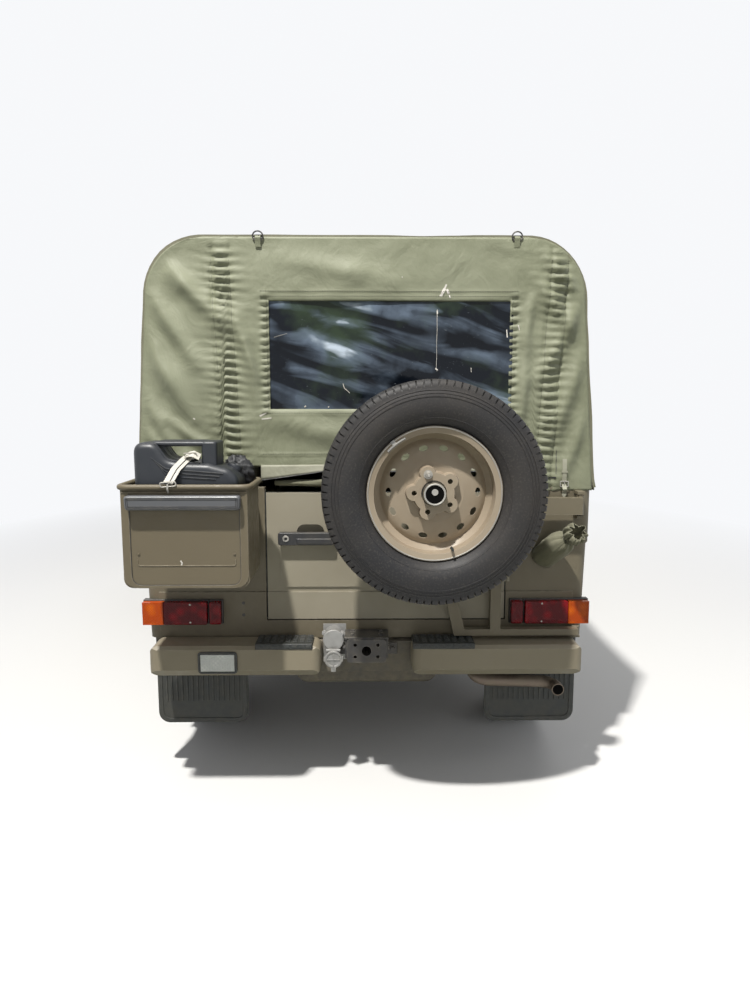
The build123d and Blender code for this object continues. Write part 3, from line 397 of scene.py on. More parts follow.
class Finish(Shading):
    """A material under construction, with its Principled BSDF."""

    def __init__(self, name, colour, roughness=0.5, metallic=0.0, **values):
        self.material = bpy.data.materials.new(name)
        self.material.use_nodes = True
        self.tree = self.material.node_tree
        self.shader = self.tree.nodes["Principled BSDF"]
        self.shader.inputs["Base Color"].default_value = (*colour, 1)
        self.shader.inputs["Roughness"].default_value = roughness
        self.shader.inputs["Metallic"].default_value = metallic
        for socket, value in values.items():
            self.shader.inputs[socket.replace("_", " ")].default_value = value

    def coat(self, **values):
        """The weathering group, with its own settings."""
        coat = self.node("Group", node_tree=WEATHERING.tree)
        for socket, value in values.items():
            coat.inputs[socket].default_value = value if isinstance(value, float) else (*value, 1)
        return coat.outputs

    def feed(self, **outputs):
        """Links outputs to the shader's sockets and returns the material."""
        for socket, output in outputs.items():
            self.tree.links.new(output, self.shader.inputs[socket.replace("_", " ")])
        return self.material


class Group(Shading):
    """An empty node group with its sockets."""

    KINDS = {"colour": "NodeSocketColor", "value": "NodeSocketFloat"}

    def __init__(self, name, inputs, outputs):
        self.tree = bpy.data.node_groups.new(name, "ShaderNodeTree")
        for side, sockets in (("INPUT", inputs), ("OUTPUT", outputs)):
            for socket, kind in sockets.items():
                self.tree.interface.new_socket(socket, in_out=side, socket_type=self.KINDS[kind])
        self.given = self.tree.nodes.new("NodeGroupInput").outputs
        self.end = self.tree.nodes.new("NodeGroupOutput")

    def give(self, **outputs):
        for socket, output in outputs.items():
            self.tree.links.new(output, self.end.inputs[socket])
        return self


def build_weathering():
    """Weathered coat: clouded colour, dust on upper faces and low down, and paler worn edges."""
    coat = Group(
        "weathering",
        {"Colour": "colour", "Dust": "colour", "Dusting": "value", "Wear": "value", "Clouding": "value"},
        {"Colour": "colour", "Roughness": "value", "Height": "value"},
    )
    given, place = coat.given, coat.place()
    large, fine = coat.cloud(place, 2.3, 4.0), coat.cloud(place, 34.0, 5.0)
    speck = coat.cloud(place, 210.0, 2.0)
    darker = coat.mix(1.0, given["Colour"], (0.8, 0.79, 0.77), "MULTIPLY")
    clouded = coat.mix(coat.times(coat.span(large, 0.35, 0.68), given["Clouding"]), given["Colour"], darker)
    normal = coat.node("NewGeometry").outputs["Normal"]
    facing_up = coat.span(coat.split(normal)["Z"], 0.25, 0.95)
    low_down = coat.span(coat.split(place)["Z"], 0.75, 0.15, 0.0, 0.9)
    settled = coat.plus(coat.times(facing_up, 0.55), coat.plus(low_down, 0.22))
    patch = coat.span(coat.plus(coat.times(large, 0.5), coat.times(fine, 0.5)), 0.36, 0.66)
    dust = coat.times(coat.times(settled, patch), given["Dusting"])
    dusty = coat.mix(coat.math("MINIMUM", dust, 0.85), clouded, given["Dust"])
    edge_normal = coat.node("Bevel", (("Radius", 0.006),), samples=4).outputs["Normal"]
    likeness = coat.node("VectorMath", ((0, edge_normal), (1, normal)), operation="DOT_PRODUCT")
    edge = coat.span(likeness.outputs["Value"], 0.985, 0.9)
    edge = coat.times(edge, coat.span(fine, 0.44, 0.6))
    pale = coat.mix(0.55, given["Colour"], (0.62, 0.58, 0.5))
    return coat.give(
        Colour=coat.mix(coat.times(edge, given["Wear"]), dusty, pale),
        Roughness=coat.plus(coat.times(dust, 0.35), coat.span(fine, 0.3, 0.7, 0.42, 0.58)),
        Height=speck,
    )


def build_weave():
    """Plain weave from a cloth's flat coordinates in metres."""
    weave = Group("weave", {"Threads": "value"}, {"Height": "value", "Shade": "value"})
    flat, threads = weave.place("UV"), weave.given["Threads"]
    split = weave.split(flat)
    warp, weft = (weave.wave(weave.times(split[side], threads), 2 * pi) for side in "XY")
    return weave.give(Height=weave.times(warp, weft), Shade=weave.cloud(flat, 60.0, 3.0))


WEATHERING = build_weathering()
WEAVE = build_weave()
EARTH = (0.3, 0.262, 0.2)


def weathered(name, colour, dust=EARTH, dusting=0.5, wear=0.5, clouding=1.0, bump=0.1, metallic=0.0):
    """Painted or bare surface with the weathering group in front of its shader."""
    finish = Finish(name, colour, metallic=metallic)
    coat = finish.coat(Colour=colour, Dust=dust, Dusting=dusting, Wear=wear, Clouding=clouding)
    relief = finish.relief(coat["Height"], bump, 0.001)
    return finish.feed(Base_Color=coat["Colour"], Roughness=coat["Roughness"], Normal=relief)


def canvas(name, colour, threads=420, gloss=0.62):
    """Proofed canvas: weave, slubs, faintly bleached and soiled patches, a satin coat."""
    finish = Finish(name, colour, gloss, Sheen_Weight=0.08, Sheen_Roughness=0.5)
    weave = finish.node("Group", (), node_tree=WEAVE.tree)
    weave.inputs["Threads"].default_value = threads
    place = finish.place()
    patch = finish.cloud(place, 9.0, 6.0)
    bleached = finish.mix(1.0, colour, (1.09, 1.08, 1.1), "MULTIPLY")
    soiled = finish.mix(1.0, colour, (0.84, 0.84, 0.8), "MULTIPLY")
    shade = finish.mix(finish.span(finish.cloud(place, 1.9, 5.0, 0.6), 0.36, 0.66), soiled, bleached)
    blotched = finish.mix(finish.span(patch, 0.58, 0.78, 0.0, 0.3), shade, soiled)
    slubbed = finish.mix(finish.span(weave.outputs["Shade"], 0.35, 0.65, 0.0, 0.3), blotched, bleached)
    broad = finish.relief(finish.cloud(place, 6.5, 4.0, 1.6), 0.5, 0.012)
    soft = finish.relief(finish.cloud(place, 26.0, 4.0), 0.42, 0.003, broad)
    woven = finish.relief(weave.outputs["Height"], 0.3, 0.0004, soft)
    satin = finish.span(patch, 0.3, 0.7, gloss - 0.06, gloss + 0.1)
    return finish.feed(Base_Color=slubbed, Roughness=satin, Normal=woven)


def moulded(name, colour, roughness, grain=900.0, depth=0.15, dusting=0.35):
    """Moulded plastic or rubber with a fine grain and a little dust."""
    finish = Finish(name, colour, roughness)
    coat = finish.coat(Colour=colour, Dust=EARTH, Dusting=dusting, Wear=0.12, Clouding=0.6)
    satin = finish.span(coat["Roughness"], 0.4, 0.9, roughness, roughness + 0.3)
    relief = finish.relief(finish.cloud(finish.place(), grain, 2.0), depth, 0.0006)
    return finish.feed(Base_Color=coat["Colour"], Roughness=satin, Normal=relief)


def tyre_compound():
    """Worn tyre rubber with a brownish bloom and dust in its grain."""
    finish = Finish("tyre_compound", (0.03, 0.03, 0.03), 0.6, Specular_IOR_Level=0.38)
    place = finish.place()
    bloom, grit = finish.cloud(place, 4.5, 6.0), finish.cloud(place, 160.0, 4.0)
    faded = finish.mix(finish.span(bloom, 0.35, 0.65), (0.013, 0.013, 0.0145), (0.032, 0.029, 0.027))
    dusty = finish.mix(finish.span(grit, 0.52, 0.72, 0.0, 0.3), faded, (0.095, 0.085, 0.072))
    satin = finish.span(bloom, 0.3, 0.7, 0.5, 0.7)
    return finish.feed(Base_Color=dusty, Roughness=satin, Normal=finish.relief(grit, 0.25, 0.0008))


def window_film():
    """Dark plastic sheet with painted sky reflections in its colour: bluish streaks, which are also rougher,
    and pale highlights; greenish patches and white scratches.
    """
    finish = Finish("window_film", (0.012, 0.017, 0.022), 0.16, IOR=1.4, Specular_IOR_Level=0.32)
    place = finish.place()
    slope = (("Vector", place), ("Rotation", (0, radians(15), 0)), ("Scale", (1.0, 1.0, 0.26)))
    tilted = finish.node("Mapping", slope, vector_type="TEXTURE").outputs[0]
    streak, cloud = finish.cloud(tilted, 3.1, 3.5, 1.0), finish.cloud(place, 5.0, 5.0)
    bands = (("Vector", tilted), ("Scale", 0.7), ("Distortion", 9.0), ("Detail", 2.5), ("Detail Scale", 1.2))
    flow = finish.node("TexWave", bands, bands_direction="Z").outputs["Fac"]
    pattern = finish.plus(finish.times(flow, 0.26), streak)
    painted_sky_streaks = finish.times(finish.span(pattern, 0.56, 0.84), finish.span(cloud, 0.34, 0.56))
    painted_highlights = finish.times(finish.span(pattern, 0.82, 0.94), finish.span(cloud, 0.52, 0.62))
    scratch = finish.span(finish.cloud(tilted, 42.0, 3.0, 3.0), 0.72, 0.77, 0.0, 0.5)
    # Painted reflections of the sky: bluish streaks on the dark sheet, then pale highlights over them
    tint = finish.mix(painted_sky_streaks, (0.004, 0.006, 0.01), (0.165, 0.215, 0.29))
    green = finish.mix(finish.span(cloud, 0.5, 0.66, 0.0, 0.8), tint, (0.03, 0.048, 0.026))
    bright = finish.mix(painted_highlights, green, (0.5, 0.58, 0.68))
    waves = finish.plus(finish.cloud(place, 11.0, 3.0), finish.times(flow, 0.6))
    return finish.feed(
        Base_Color=finish.mix(scratch, bright, (0.42, 0.48, 0.52)),
        Roughness=finish.span(painted_sky_streaks, 0.0, 0.8, 0.12, 0.45),
        Normal=finish.relief(waves, 0.6, 0.006),
    )


def lens(name, colour, deep, ribs=190.0):
    """Coloured lamp lens with prisms, and the sparkle of a reflector behind them painted into its colour."""
    finish = Finish(name, colour, 0.12, IOR=1.38, Specular_IOR_Level=0.3)
    place = finish.place()
    split = finish.split(place)
    facets = finish.times(finish.wave(split["X"], ribs * pi), finish.wave(split["Z"], ribs * pi))
    cells = finish.node("TexVoronoi", (("Vector", place), ("Scale", 26.0)), feature="F1").outputs["Distance"]
    # Painted sparkle of the reflector: the lens's colour in cells along the prisms, the darker colour
    # between them
    painted_sparkle = finish.times(finish.span(cells, 0.6, 0.1), finish.span(facets, -0.6, 0.8))
    return finish.feed(Base_Color=finish.mix(painted_sparkle, deep, colour), Normal=finish.relief(facets, 0.35, 0.001))


def headlamp_glass():
    """Ribbed headlamp glass with painted reflections of the bright reflector behind it, in pale and dark
    stripes.
    """
    finish = Finish("headlamp_glass", (0.2, 0.22, 0.24), 0.14, 0.75)
    split = finish.split(finish.place())
    facets = finish.plus(finish.wave(split["X"], 620.0), finish.times(finish.wave(split["Z"], 150.0), 0.7))
    # Painted reflection of the reflector: pale and dark stripes along the ribs
    painted_reflector_stripes = finish.mix(finish.span(facets, -1.2, 1.4), (0.1, 0.11, 0.12), (0.46, 0.48, 0.5))
    return finish.feed(Base_Color=painted_reflector_stripes, Normal=finish.relief(facets, 0.5, 0.0016))


def smeared_glass():
    """Flat glass with faint smears."""
    finish = Finish("window_glass", (0.8, 0.86, 0.83), 0.02, Transmission_Weight=1.0, IOR=1.45)
    smear = finish.cloud(finish.place(), 7.0, 5.0)
    return finish.feed(Roughness=finish.span(smear, 0.4, 0.8, 0.02, 0.1))


DULL = (0.1, 0.095, 0.08)
RUST = (0.19, 0.115, 0.065)
paint = weathered("olive_paint", (0.148, 0.128, 0.086), dusting=0.38, wear=0.35)
# Rear door: olive paled partly by dust and partly as painted light, for the sun and sky sheen that the spare
# and the can holder shade off it
dusty_lightened_paint = weathered("dusty_lightened_olive_paint", (0.315, 0.288, 0.222), wear=0.35)
holder_paint = weathered("holder_paint", (0.138, 0.115, 0.074), dusting=0.12, wear=0.3, clouding=0.6)
# Bumpers: paint lightened as painted light, for the sun that the spare and the can holder shade off them;
# the pale worn edges are real wear
lightened_bumper_paint = weathered("lightened_bumper_paint", (0.262, 0.23, 0.166), dusting=0.4, wear=0.7)
black_iron = weathered("black_iron", (0.03, 0.031, 0.034), dusting=0.45, bump=0.4, metallic=0.3)
dark_paint = weathered("dark_olive_paint", (0.052, 0.048, 0.036), dusting=0.9, wear=0.3)
rim_paint = weathered("rim_paint", (0.345, 0.288, 0.215), RUST, wear=0.35)
bare_steel = weathered("zinc_steel", (0.42, 0.41, 0.38), dusting=0.6, wear=0.4, metallic=0.85)
cast_metal = weathered("cast_metal", (0.11, 0.108, 0.1), dusting=0.9, wear=0.3, bump=0.5, metallic=0.35)
exhaust_steel = weathered("exhaust_steel", (0.16, 0.125, 0.1), dusting=0.7, wear=0.2, bump=0.4, metallic=0.6)
cast_aluminium = weathered("cast_aluminium", (0.36, 0.36, 0.355), DULL, 0.75, bump=0.5, metallic=0.35)
hood_canvas = canvas("hood_canvas", (0.222, 0.236, 0.158), gloss=0.54)
sleeve_canvas = canvas("sleeve_canvas", (0.175, 0.172, 0.118), gloss=0.78)
faded_canvas = canvas("faded_canvas", (0.335, 0.335, 0.265))
black_cloth = canvas("black_cloth", (0.02, 0.021, 0.024), gloss=0.5)
webbing = canvas("cotton_webbing", (0.6, 0.58, 0.53), threads=260, gloss=0.8)
stitch_thread = moulded("stitch_thread", (0.072, 0.074, 0.052), 0.8, dusting=0.1)
seat_vinyl = moulded("seat_vinyl", (0.048, 0.05, 0.04), 0.42, grain=420.0, depth=0.3)
black_plastic = moulded("black_plastic", (0.018, 0.019, 0.022), 0.38)
can_plastic = moulded("can_plastic", (0.017, 0.021, 0.028), 0.36, grain=500.0, depth=0.3, dusting=0.06)
bar_plastic = moulded("bar_plastic", (0.105, 0.11, 0.122), 0.3, grain=700.0, dusting=0.1)
rubber = moulded("ribbed_rubber", (0.017, 0.021, 0.021), 0.5, grain=600.0, dusting=0.12)
tyre_rubber = tyre_compound()
film = window_film()
red_lens = lens("red_lens", (0.56, 0.004, 0.012), (0.12, 0.001, 0.004))
amber_lens = lens("amber_lens", (0.9, 0.2, 0.002), (0.42, 0.055, 0.0005))
# Clear lens lightened as painted light, for the light that the can holder's shade keeps off the reversing
# lamp
lightened_clear_lens = lens("lightened_clear_lens", (0.93, 0.94, 0.92), (0.74, 0.76, 0.76), ribs=120.0)
headlamp_lens = headlamp_glass()
# Near-black for soot and for painted shade: the dark insides of the tail pipe's mouth and of the spindle's
# end
soot_and_shade_black = Finish("soot_and_shade_black", (0.003, 0.003, 0.003), 1.0, Specular_IOR_Level=0.1).material
window_glass = smeared_glass()
mirror_glass = Finish("mirror_glass", (0.75, 0.78, 0.8), 0.04, 1.0).material

SLOT_FINISH = {
    "paint_olive": paint, "paint_olive_dark": dark_paint, "lens_clear": lightened_clear_lens, "window_film": film,
    "lens_amber": amber_lens, "lens_red": red_lens, "rubber_black": rubber, "tyre_rubber": tyre_rubber,
    "cast_aluminium": cast_aluminium, "cast_metal": cast_metal, "exhaust_steel": exhaust_steel,
    "window_glass": window_glass, "hood_canvas": hood_canvas, "plastic_black": black_plastic,
    "seat_vinyl": seat_vinyl, "can_plastic": can_plastic, "rim_paint": rim_paint,
}
SLOT_OF = {part["node"]: part["material_slot"] for part in frame["record"]["subparts"]}
# Nodes whose own finish differs from that of their slot's other nodes; the rear door's and the bumpers'
# paints are lightened with painted light
OWN_FINISH = {
    "rear_door": dusty_lightened_paint, "can_holder": holder_paint, "tow_coupling": black_iron,
    "bumpers": lightened_bumper_paint,
}
# Nodes of the frame whose edges are rounded, under the width of the rounding
EDGE_WIDTHS = {
    0.0012: "rim_spare rim_front_left rim_front_right rim_rear_left rim_rear_right",
    0.0015: "can_holder",
    0.002: "clear_lamps axles trailer_socket rubber_parts knuckle_left knuckle_right",
    0.003: "floor_pan spare_carrier tow_coupling",
    0.004: "chassis_frame side_panels rear_panel front_panel door_left door_right rear_door amber_lenses "
           "red_lenses fuel_tank dashboard",
    0.005: "scuttle bumpers",
    0.006: "wings windscreen_frame",
    0.008: "bonnet powertrain",
}
EDGES = {name: width for width, names in EDGE_WIDTHS.items() for name in names.split()}
# Points of the frame's own mesh that lie closer than this are one
SAME_PLACE = 0.00002


def dress_nodes():
    """Gives each node of the frame its finish and soft edges."""
    for name, piece in nodes.items():
        finish = OWN_FINISH.get(name, SLOT_FINISH[SLOT_OF[name]])
        if not piece.material_slots:
            piece.data.materials.append(finish)
        for slot in piece.material_slots:
            slot.material = finish
        if name in EDGES:
            weld = piece.modifiers.new("weld", "WELD")
            weld.merge_threshold = SAME_PLACE
            soften(piece, EDGES[name])


# Hood


BUTTON_Y = -1.79
BUTTON_GAP = 0.218
ROOF_HALF = TUB_X - (HOOD_TOP - TUB_TOP) * tan(LEAN)
CORNER_TURN = pi / 2 - LEAN
FLAT_HALF = ROOF_HALF - HOOD_R * tan(CORNER_TURN / 2)
CORNER_RUN = FLAT_HALF + HOOD_R * CORNER_TURN
CORNER_X = FLAT_HALF + HOOD_R * sin(CORNER_TURN)
CORNER_Z = HOOD_TOP - HOOD_R + HOOD_R * cos(CORNER_TURN)
CLOTH = 0.0025
# Height from which the cover drops towards the windscreen, and where it ends over the doors
EAVES_Z = 1.85
# Far end of the span that begins at the foremost bow
FAR_AHEAD = 9.0
# How far the cover sags on roof and sides, and how high its ridges, creases, seams and hem stand
ROOF_SAG, SIDE_SAG = 0.018, 0.007
RIDGE, CREASE, PULL = 0.003, 0.0065, 0.004
SEAM_RISE, HEM_RISE, FLARE = 0.0022, 0.003, 0.006


def hood_run(z):
    """Distance over the hood from the roof's middle to a height on its side."""
    return CORNER_RUN + (CORNER_Z - z) / cos(LEAN)


def hood_outline(s):
    """Point and outward normal of the hood's section, s metres from the roof's middle."""
    side, run = (1 if s >= 0 else -1), abs(s)
    if run < FLAT_HALF:
        x, z, nx, nz = run, HOOD_TOP, 0, 1
    elif run < CORNER_RUN:
        turn = (run - FLAT_HALF) / HOOD_R
        nx, nz = sin(turn), cos(turn)
        x, z = FLAT_HALF + HOOD_R * nx, HOOD_TOP - HOOD_R + HOOD_R * nz
    else:
        down = run - CORNER_RUN
        x, z, nx, nz = CORNER_X + down * sin(LEAN), CORNER_Z - down * cos(LEAN), cos(LEAN), sin(LEAN)
    return side * x, z, side * nx, nz


def hood_half(z):
    """Half width of the hood at a height."""
    if z <= CORNER_Z:
        return CORNER_X + (CORNER_Z - z) * tan(LEAN)
    return FLAT_HALF + (max(0.0, HOOD_R**2 - (z - HOOD_TOP + HOOD_R) ** 2)) ** 0.5


def hill(distance, width):
    """Smooth hill, one high at no distance."""
    return exp(-((distance / width) ** 2))


def fractal(x, y, z, octaves=3):
    """Rough noise about nought."""
    return noise.fractal(Vector((x, y, z)), 0.6, 2.1, octaves)


def hood_slack(s, y):
    """How far the cover stands out from its frame: sag between the bows, ridges on them, creases."""
    low, high = next((a, b) for a, b in zip((REAR_Y,) + BOWS, BOWS + (FAR_AHEAD,)) if a <= y <= b)
    sag = sin(pi * ((y - low) / (high - low))) ** 2 * min(1.0, (high - low) / 0.5)
    on_roof = 1 / (1 + exp((abs(s) - FLAT_HALF) / 0.05))
    depth = -(ROOF_SAG * on_roof + SIDE_SAG * (1 - on_roof)) * sag
    ridge = RIDGE * max(hill(y - bow, 0.022) for bow in BOWS)
    crease = CREASE * fractal(s * 2.6 + 3, y * 1.7, 1.0) * (0.4 + 0.6 * sag)
    pull = PULL * fractal(s * 1.5 + y * 3.4, s * 5.0 - y * 2.2, 4.0, 2) * (1 - on_roof)
    seam = SEAM_RISE * (hill(abs(s) - CORNER_RUN - 0.03, 0.004) + hill(abs(s) - CORNER_RUN - 0.045, 0.004))
    hem = HEM_RISE if abs(s) > hood_run(HOOD_HEM + 0.035) else 0
    from_hem = abs(s) - hood_run(HOOD_HEM)
    flare = FLARE * hill(from_hem, 0.06)
    along = (y - BUTTON_Y) / BUTTON_GAP
    drawn = (0.0034 * cos(2 * pi * along) + 0.0012 * sin(3 * pi * along)) * hill(from_hem, 0.13)
    return depth + ridge + crease + pull + seam + hem + flare - drawn


def hood_point(s, y, lift=0.0):
    """Point on the hood's cover, lifted off it by some metres."""
    x, z, nx, nz = hood_outline(s)
    out = hood_slack(s, y) + lift
    share = max(0.0, (y - HOOD_KINK) / (HOOD_FRONT - HOOD_KINK))
    drop = HOOD_DROP * share * max(0.0, (z - EAVES_Z) / (HOOD_TOP - EAVES_Z))
    return Vector((x + nx * out, y, z + nz * out - drop))


def hood_cover():
    """One sheet over roof and sides, with the side windows left open."""
    edge, eaves = hood_run(HOOD_HEM), hood_run(EAVES_Z)
    panes = [hood_run(z) for z in SIDE_WINDOW_Z]
    door_y = DOOR_REAR_Y - 0.007
    exact = [k * v for k in SIDES for v in (eaves, *panes, CORNER_RUN, FLAT_HALF)]
    runs = stops(-edge, edge, 0.022, *exact)
    lengths = stops(REAR_Y + 0.004, HOOD_FRONT, 0.02, door_y, *SIDE_WINDOW_Y)

    def keep(s, y):
        if abs(s) > eaves and y > door_y:
            return False
        return not (panes[1] < abs(s) < panes[0] and SIDE_WINDOW_Y[0] < y < SIDE_WINDOW_Y[1])

    shape = grid(runs, lengths, hood_point, keep)
    cover = cloth("hood_cover", shape, hood_canvas, CLOTH, flat=lambda p: (p.y, p.z + abs(p.x)))
    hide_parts("hood_roof", "hood_sides")
    area = (2 * edge * (door_y - REAR_Y)) + 2 * eaves * (HOOD_FRONT - door_y)
    area -= 2 * (SIDE_WINDOW_Y[1] - SIDE_WINDOW_Y[0]) * (panes[0] - panes[1])


# Soft folds of the rear curtain: start x, z, end x, z, width, height
FOLDS = (
    (-0.78, 1.86, -0.62, 1.62, 0.03, 0.01), (-0.8, 1.7, -0.64, 1.42, 0.035, 0.012),
    (-0.7, 1.93, -0.45, 1.72, 0.035, 0.009), (-0.82, 1.5, -0.66, 1.22, 0.03, 0.011),
    (-0.47, 1.8, -0.4, 1.48, 0.022, 0.007), (-0.74, 1.42, -0.58, 1.3, 0.02, 0.008),
    (0.79, 1.84, 0.64, 1.56, 0.03, 0.011), (0.8, 1.64, 0.7, 1.36, 0.032, 0.012),
    (0.62, 1.93, 0.77, 1.72, 0.03, 0.009), (0.83, 1.44, 0.74, 1.2, 0.026, 0.01),
    (0.6, 1.76, 0.56, 1.42, 0.02, 0.007), (-0.3, 1.99, 0.1, 1.92, 0.04, 0.005),
    (-0.35, 1.42, 0.0, 1.32, 0.045, 0.007), (0.1, 1.33, 0.5, 1.41, 0.045, 0.006),
    (-0.84, 1.4, -0.72, 1.25, 0.024, 0.009), (-0.72, 1.98, -0.6, 1.84, 0.026, 0.007),
    (0.6, 1.6, 0.57, 1.36, 0.018, 0.007), (0.66, 1.99, 0.8, 1.86, 0.026, 0.007),
    (-0.44, 1.7, -0.4, 1.56, 0.014, 0.006), (0.61, 1.86, 0.58, 1.7, 0.016, 0.006),
)
# Gathered bands: x of the outer stitch line at the top and at the bottom, width
BANDS = ((-0.566, -0.53, 0.066), (0.742, 0.7, -0.062))
# Rise of the curtain's broad waves and of its small ones, of a band's pleats and of the cloth beside them
WAVE, RIPPLE = 0.008, 0.005
PLEAT, BESIDE = 0.0085, 0.0034
# Heights of the seams above and below the rear window
SEAMS = (1.859, 1.877, 1.436, 1.284)
STITCH = 0.0045
# Lower edge of the curtain over the door
DOOR_HEM = 1.241
# How far a point of the curtain's mesh may move on to the window's edge
SNAP = 0.006


def along_band(band, z):
    """x of a band's outer stitch line at a height."""
    return band[1] + (band[0] - band[1]) * ((z - 1.2) / (HOOD_TOP - 1.2))


def near_segment(x, z, x0, z0, x1, z1):
    """Distance from a line piece and how far along it the nearest point lies."""
    dx, dz = x1 - x0, z1 - z0
    share = max(0.0, min(1.0, ((x - x0) * dx + (z - z0) * dz) / (dx * dx + dz * dz)))
    return hypot(x - x0 - share * dx, z - z0 - share * dz), share


def curtain_slack(x, z):
    """How far the rear curtain stands out to the rear at a place."""
    edge = min(1.0, (hood_half(z) - abs(x)) / 0.05, (HOOD_TOP - z) / 0.05)
    out = WAVE * fractal(x * 2.4 + 7, z * 2.0, 2.0) + RIPPLE * fractal(x * 5 - z * 4, z * 6 + x * 2, 5.0, 2)
    for x0, z0, x1, z1, width, height in FOLDS:
        distance, share = near_segment(x, z, x0, z0, x1, z1)
        out += 2.0 * height * hill(distance, width) * sin(pi * (0.15 + 0.7 * share))
    for band in BANDS:
        outer, width = along_band(band, z), abs(band[2])
        middle = outer + band[2] / 2
        wander = 0.8 * fractal(x * 6, z * 5, 3.0, 1) + 3.2 * (x - middle)
        pucker = sin(2 * pi * (z / 0.03 + wander))
        deep = 0.6 + 0.5 * fractal(2.0, z * 6, 1.0, 1)
        out += PLEAT * deep * pucker * hill(x - middle, width * 0.5)
        out += BESIDE * deep * pucker * hill(x - middle, width * 1.15)
        out += 0.006 * hill(x - middle, width * 0.7)
        out -= 0.008 * hill(x - outer, 0.008) + 0.006 * hill(x - outer - band[2], 0.008)
    if REAR_WINDOW_Z[0] - 0.03 < z < REAR_WINDOW_Z[1] + 0.03:
        gap = min(abs(x - REAR_WINDOW_X[0] + 0.016), abs(x - REAR_WINDOW_X[1] - 0.016))
        out += 0.0056 * sin(2 * pi * (z / 0.0262 + 0.6 * fractal(x * 3, z * 8, 6.0, 1))) * hill(gap, 0.015)
    if REAR_WINDOW_X[0] - 0.05 < x < REAR_WINDOW_X[1] + 0.05:
        for seam in SEAMS:
            out += 0.003 * hill(z - seam, 0.004)
    out += 0.01 * hill(z - HOOD_HEM, 0.09)
    return out * max(0.0, edge) + 0.002


def curtain_point(x, z, lift=0.0):
    """Point on the rear curtain, lifted off it to the rear by some metres."""
    return Vector((x, CURTAIN_Y - curtain_slack(x, z) - lift, z))


def curtain_hem(x):
    """Height of the rear curtain's lower edge: down over the tub at both corners, higher over the door."""
    step = 1 / (1 + exp(-(x + 0.545) / 0.004)) / (1 + exp((x - 0.64) / 0.004))
    return HOOD_HEM + (DOOR_HEM - HOOD_HEM) * step


def within(value, limits, more=0.0):
    """Whether a value lies between two limits, or a little past them."""
    return limits[0] - more < value < limits[1] + more


def snap(value, marks):
    """Small step that brings a value near a mark onto it."""
    return next((mark - value for mark in marks if abs(value - mark) < SNAP), 0.0)


def rear_curtain():
    """Rear curtain with its gathered bands, seams and the window's opening."""
    rows, columns = stops(0.0, 1.0, 0.0088), stops(-1.0, 1.0, 0.0088)

    def spread(u, t):
        hem = curtain_hem(u * TUB_X)
        z = hem + (HOOD_TOP - hem) * t
        return u * hood_half(z), z

    def place(u, t):
        x, z = spread(u, t)
        if within(x, REAR_WINDOW_X, SNAP):
            z += snap(z, REAR_WINDOW_Z)
        if within(z, REAR_WINDOW_Z, SNAP):
            x += snap(x, REAR_WINDOW_X)
        return curtain_point(x, z)

    def keep(u, t):
        x, z = spread(u, t)
        return not (within(x, REAR_WINDOW_X) and within(z, REAR_WINDOW_Z))

    piece = cloth("rear_curtain", grid(columns, rows, place, keep), hood_canvas, CLOTH)
    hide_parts("hood_rear")


def film_point(x, z):
    """Point on the creased sheet of the rear window."""
    wave = 0.004 * fractal(x * 3.0, z * 4.0, 8.0) + 0.004 * sin(9 * x + 24 * z)
    inside = min(x - REAR_WINDOW_X[0], REAR_WINDOW_X[1] - x, z - REAR_WINDOW_Z[0], REAR_WINDOW_Z[1] - z)
    rim = max(0.0, min(1.0, inside / 0.03))
    return Vector((x, CURTAIN_Y + 0.003 - wave * rim, z))


def window_sheets():
    """Plastic window sheets: the creased rear one and the two in the sides."""
    border = 0.012
    xs, zs = (stops(a - border, b + border, border) for a, b in (REAR_WINDOW_X, REAR_WINDOW_Z))
    ys = stops(SIDE_WINDOW_Y[0] - border, SIDE_WINDOW_Y[1] + border, 0.03)
    shapes = [grid(xs, zs, film_point)]
    for out in SIDES:
        low, high = sorted(out * hood_run(z) for z in SIDE_WINDOW_Z)
        runs = stops(low - border, high + border, 0.03)
        shapes.append(grid(runs, ys, lambda s, y: hood_point(s, y, -0.006)))
    piece = cloth("window_sheets", shapes, film, 0)
    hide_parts("hood_windows")


def stitch_row(path):
    """Row of stitches along a line of points on the curtain, each 5 mm long."""
    shapes = []
    for a, b in zip(path[:-1:2], path[1::2]):
        start = a + Vector((0, -0.0022, 0))
        shapes.append(ribbon([start, start + (b - a).normalized() * 0.005], 0.0016, 0.0012))
    return shapes


def stitches():
    """Stitch rows on the curtain: along the bands, round the window and along the seams."""
    shapes = []
    for band in BANDS:
        for shift in (0, band[2]):
            zs = stops(1.24, 1.99, STITCH)
            shapes += stitch_row([curtain_point(along_band(band, z) + shift, z) for z in zs])
    for seam in SEAMS:
        xs = stops(REAR_WINDOW_X[0] - 0.03, REAR_WINDOW_X[1] + 0.03, STITCH)
        shapes += stitch_row([curtain_point(x, seam + 0.003) for x in xs])
    for x in (REAR_WINDOW_X[0] - 0.008, REAR_WINDOW_X[1] + 0.008):
        shapes += stitch_row([curtain_point(x, z) for z in stops(*REAR_WINDOW_Z, STITCH)])
    make("hood_stitches", shapes, stitch_thread)


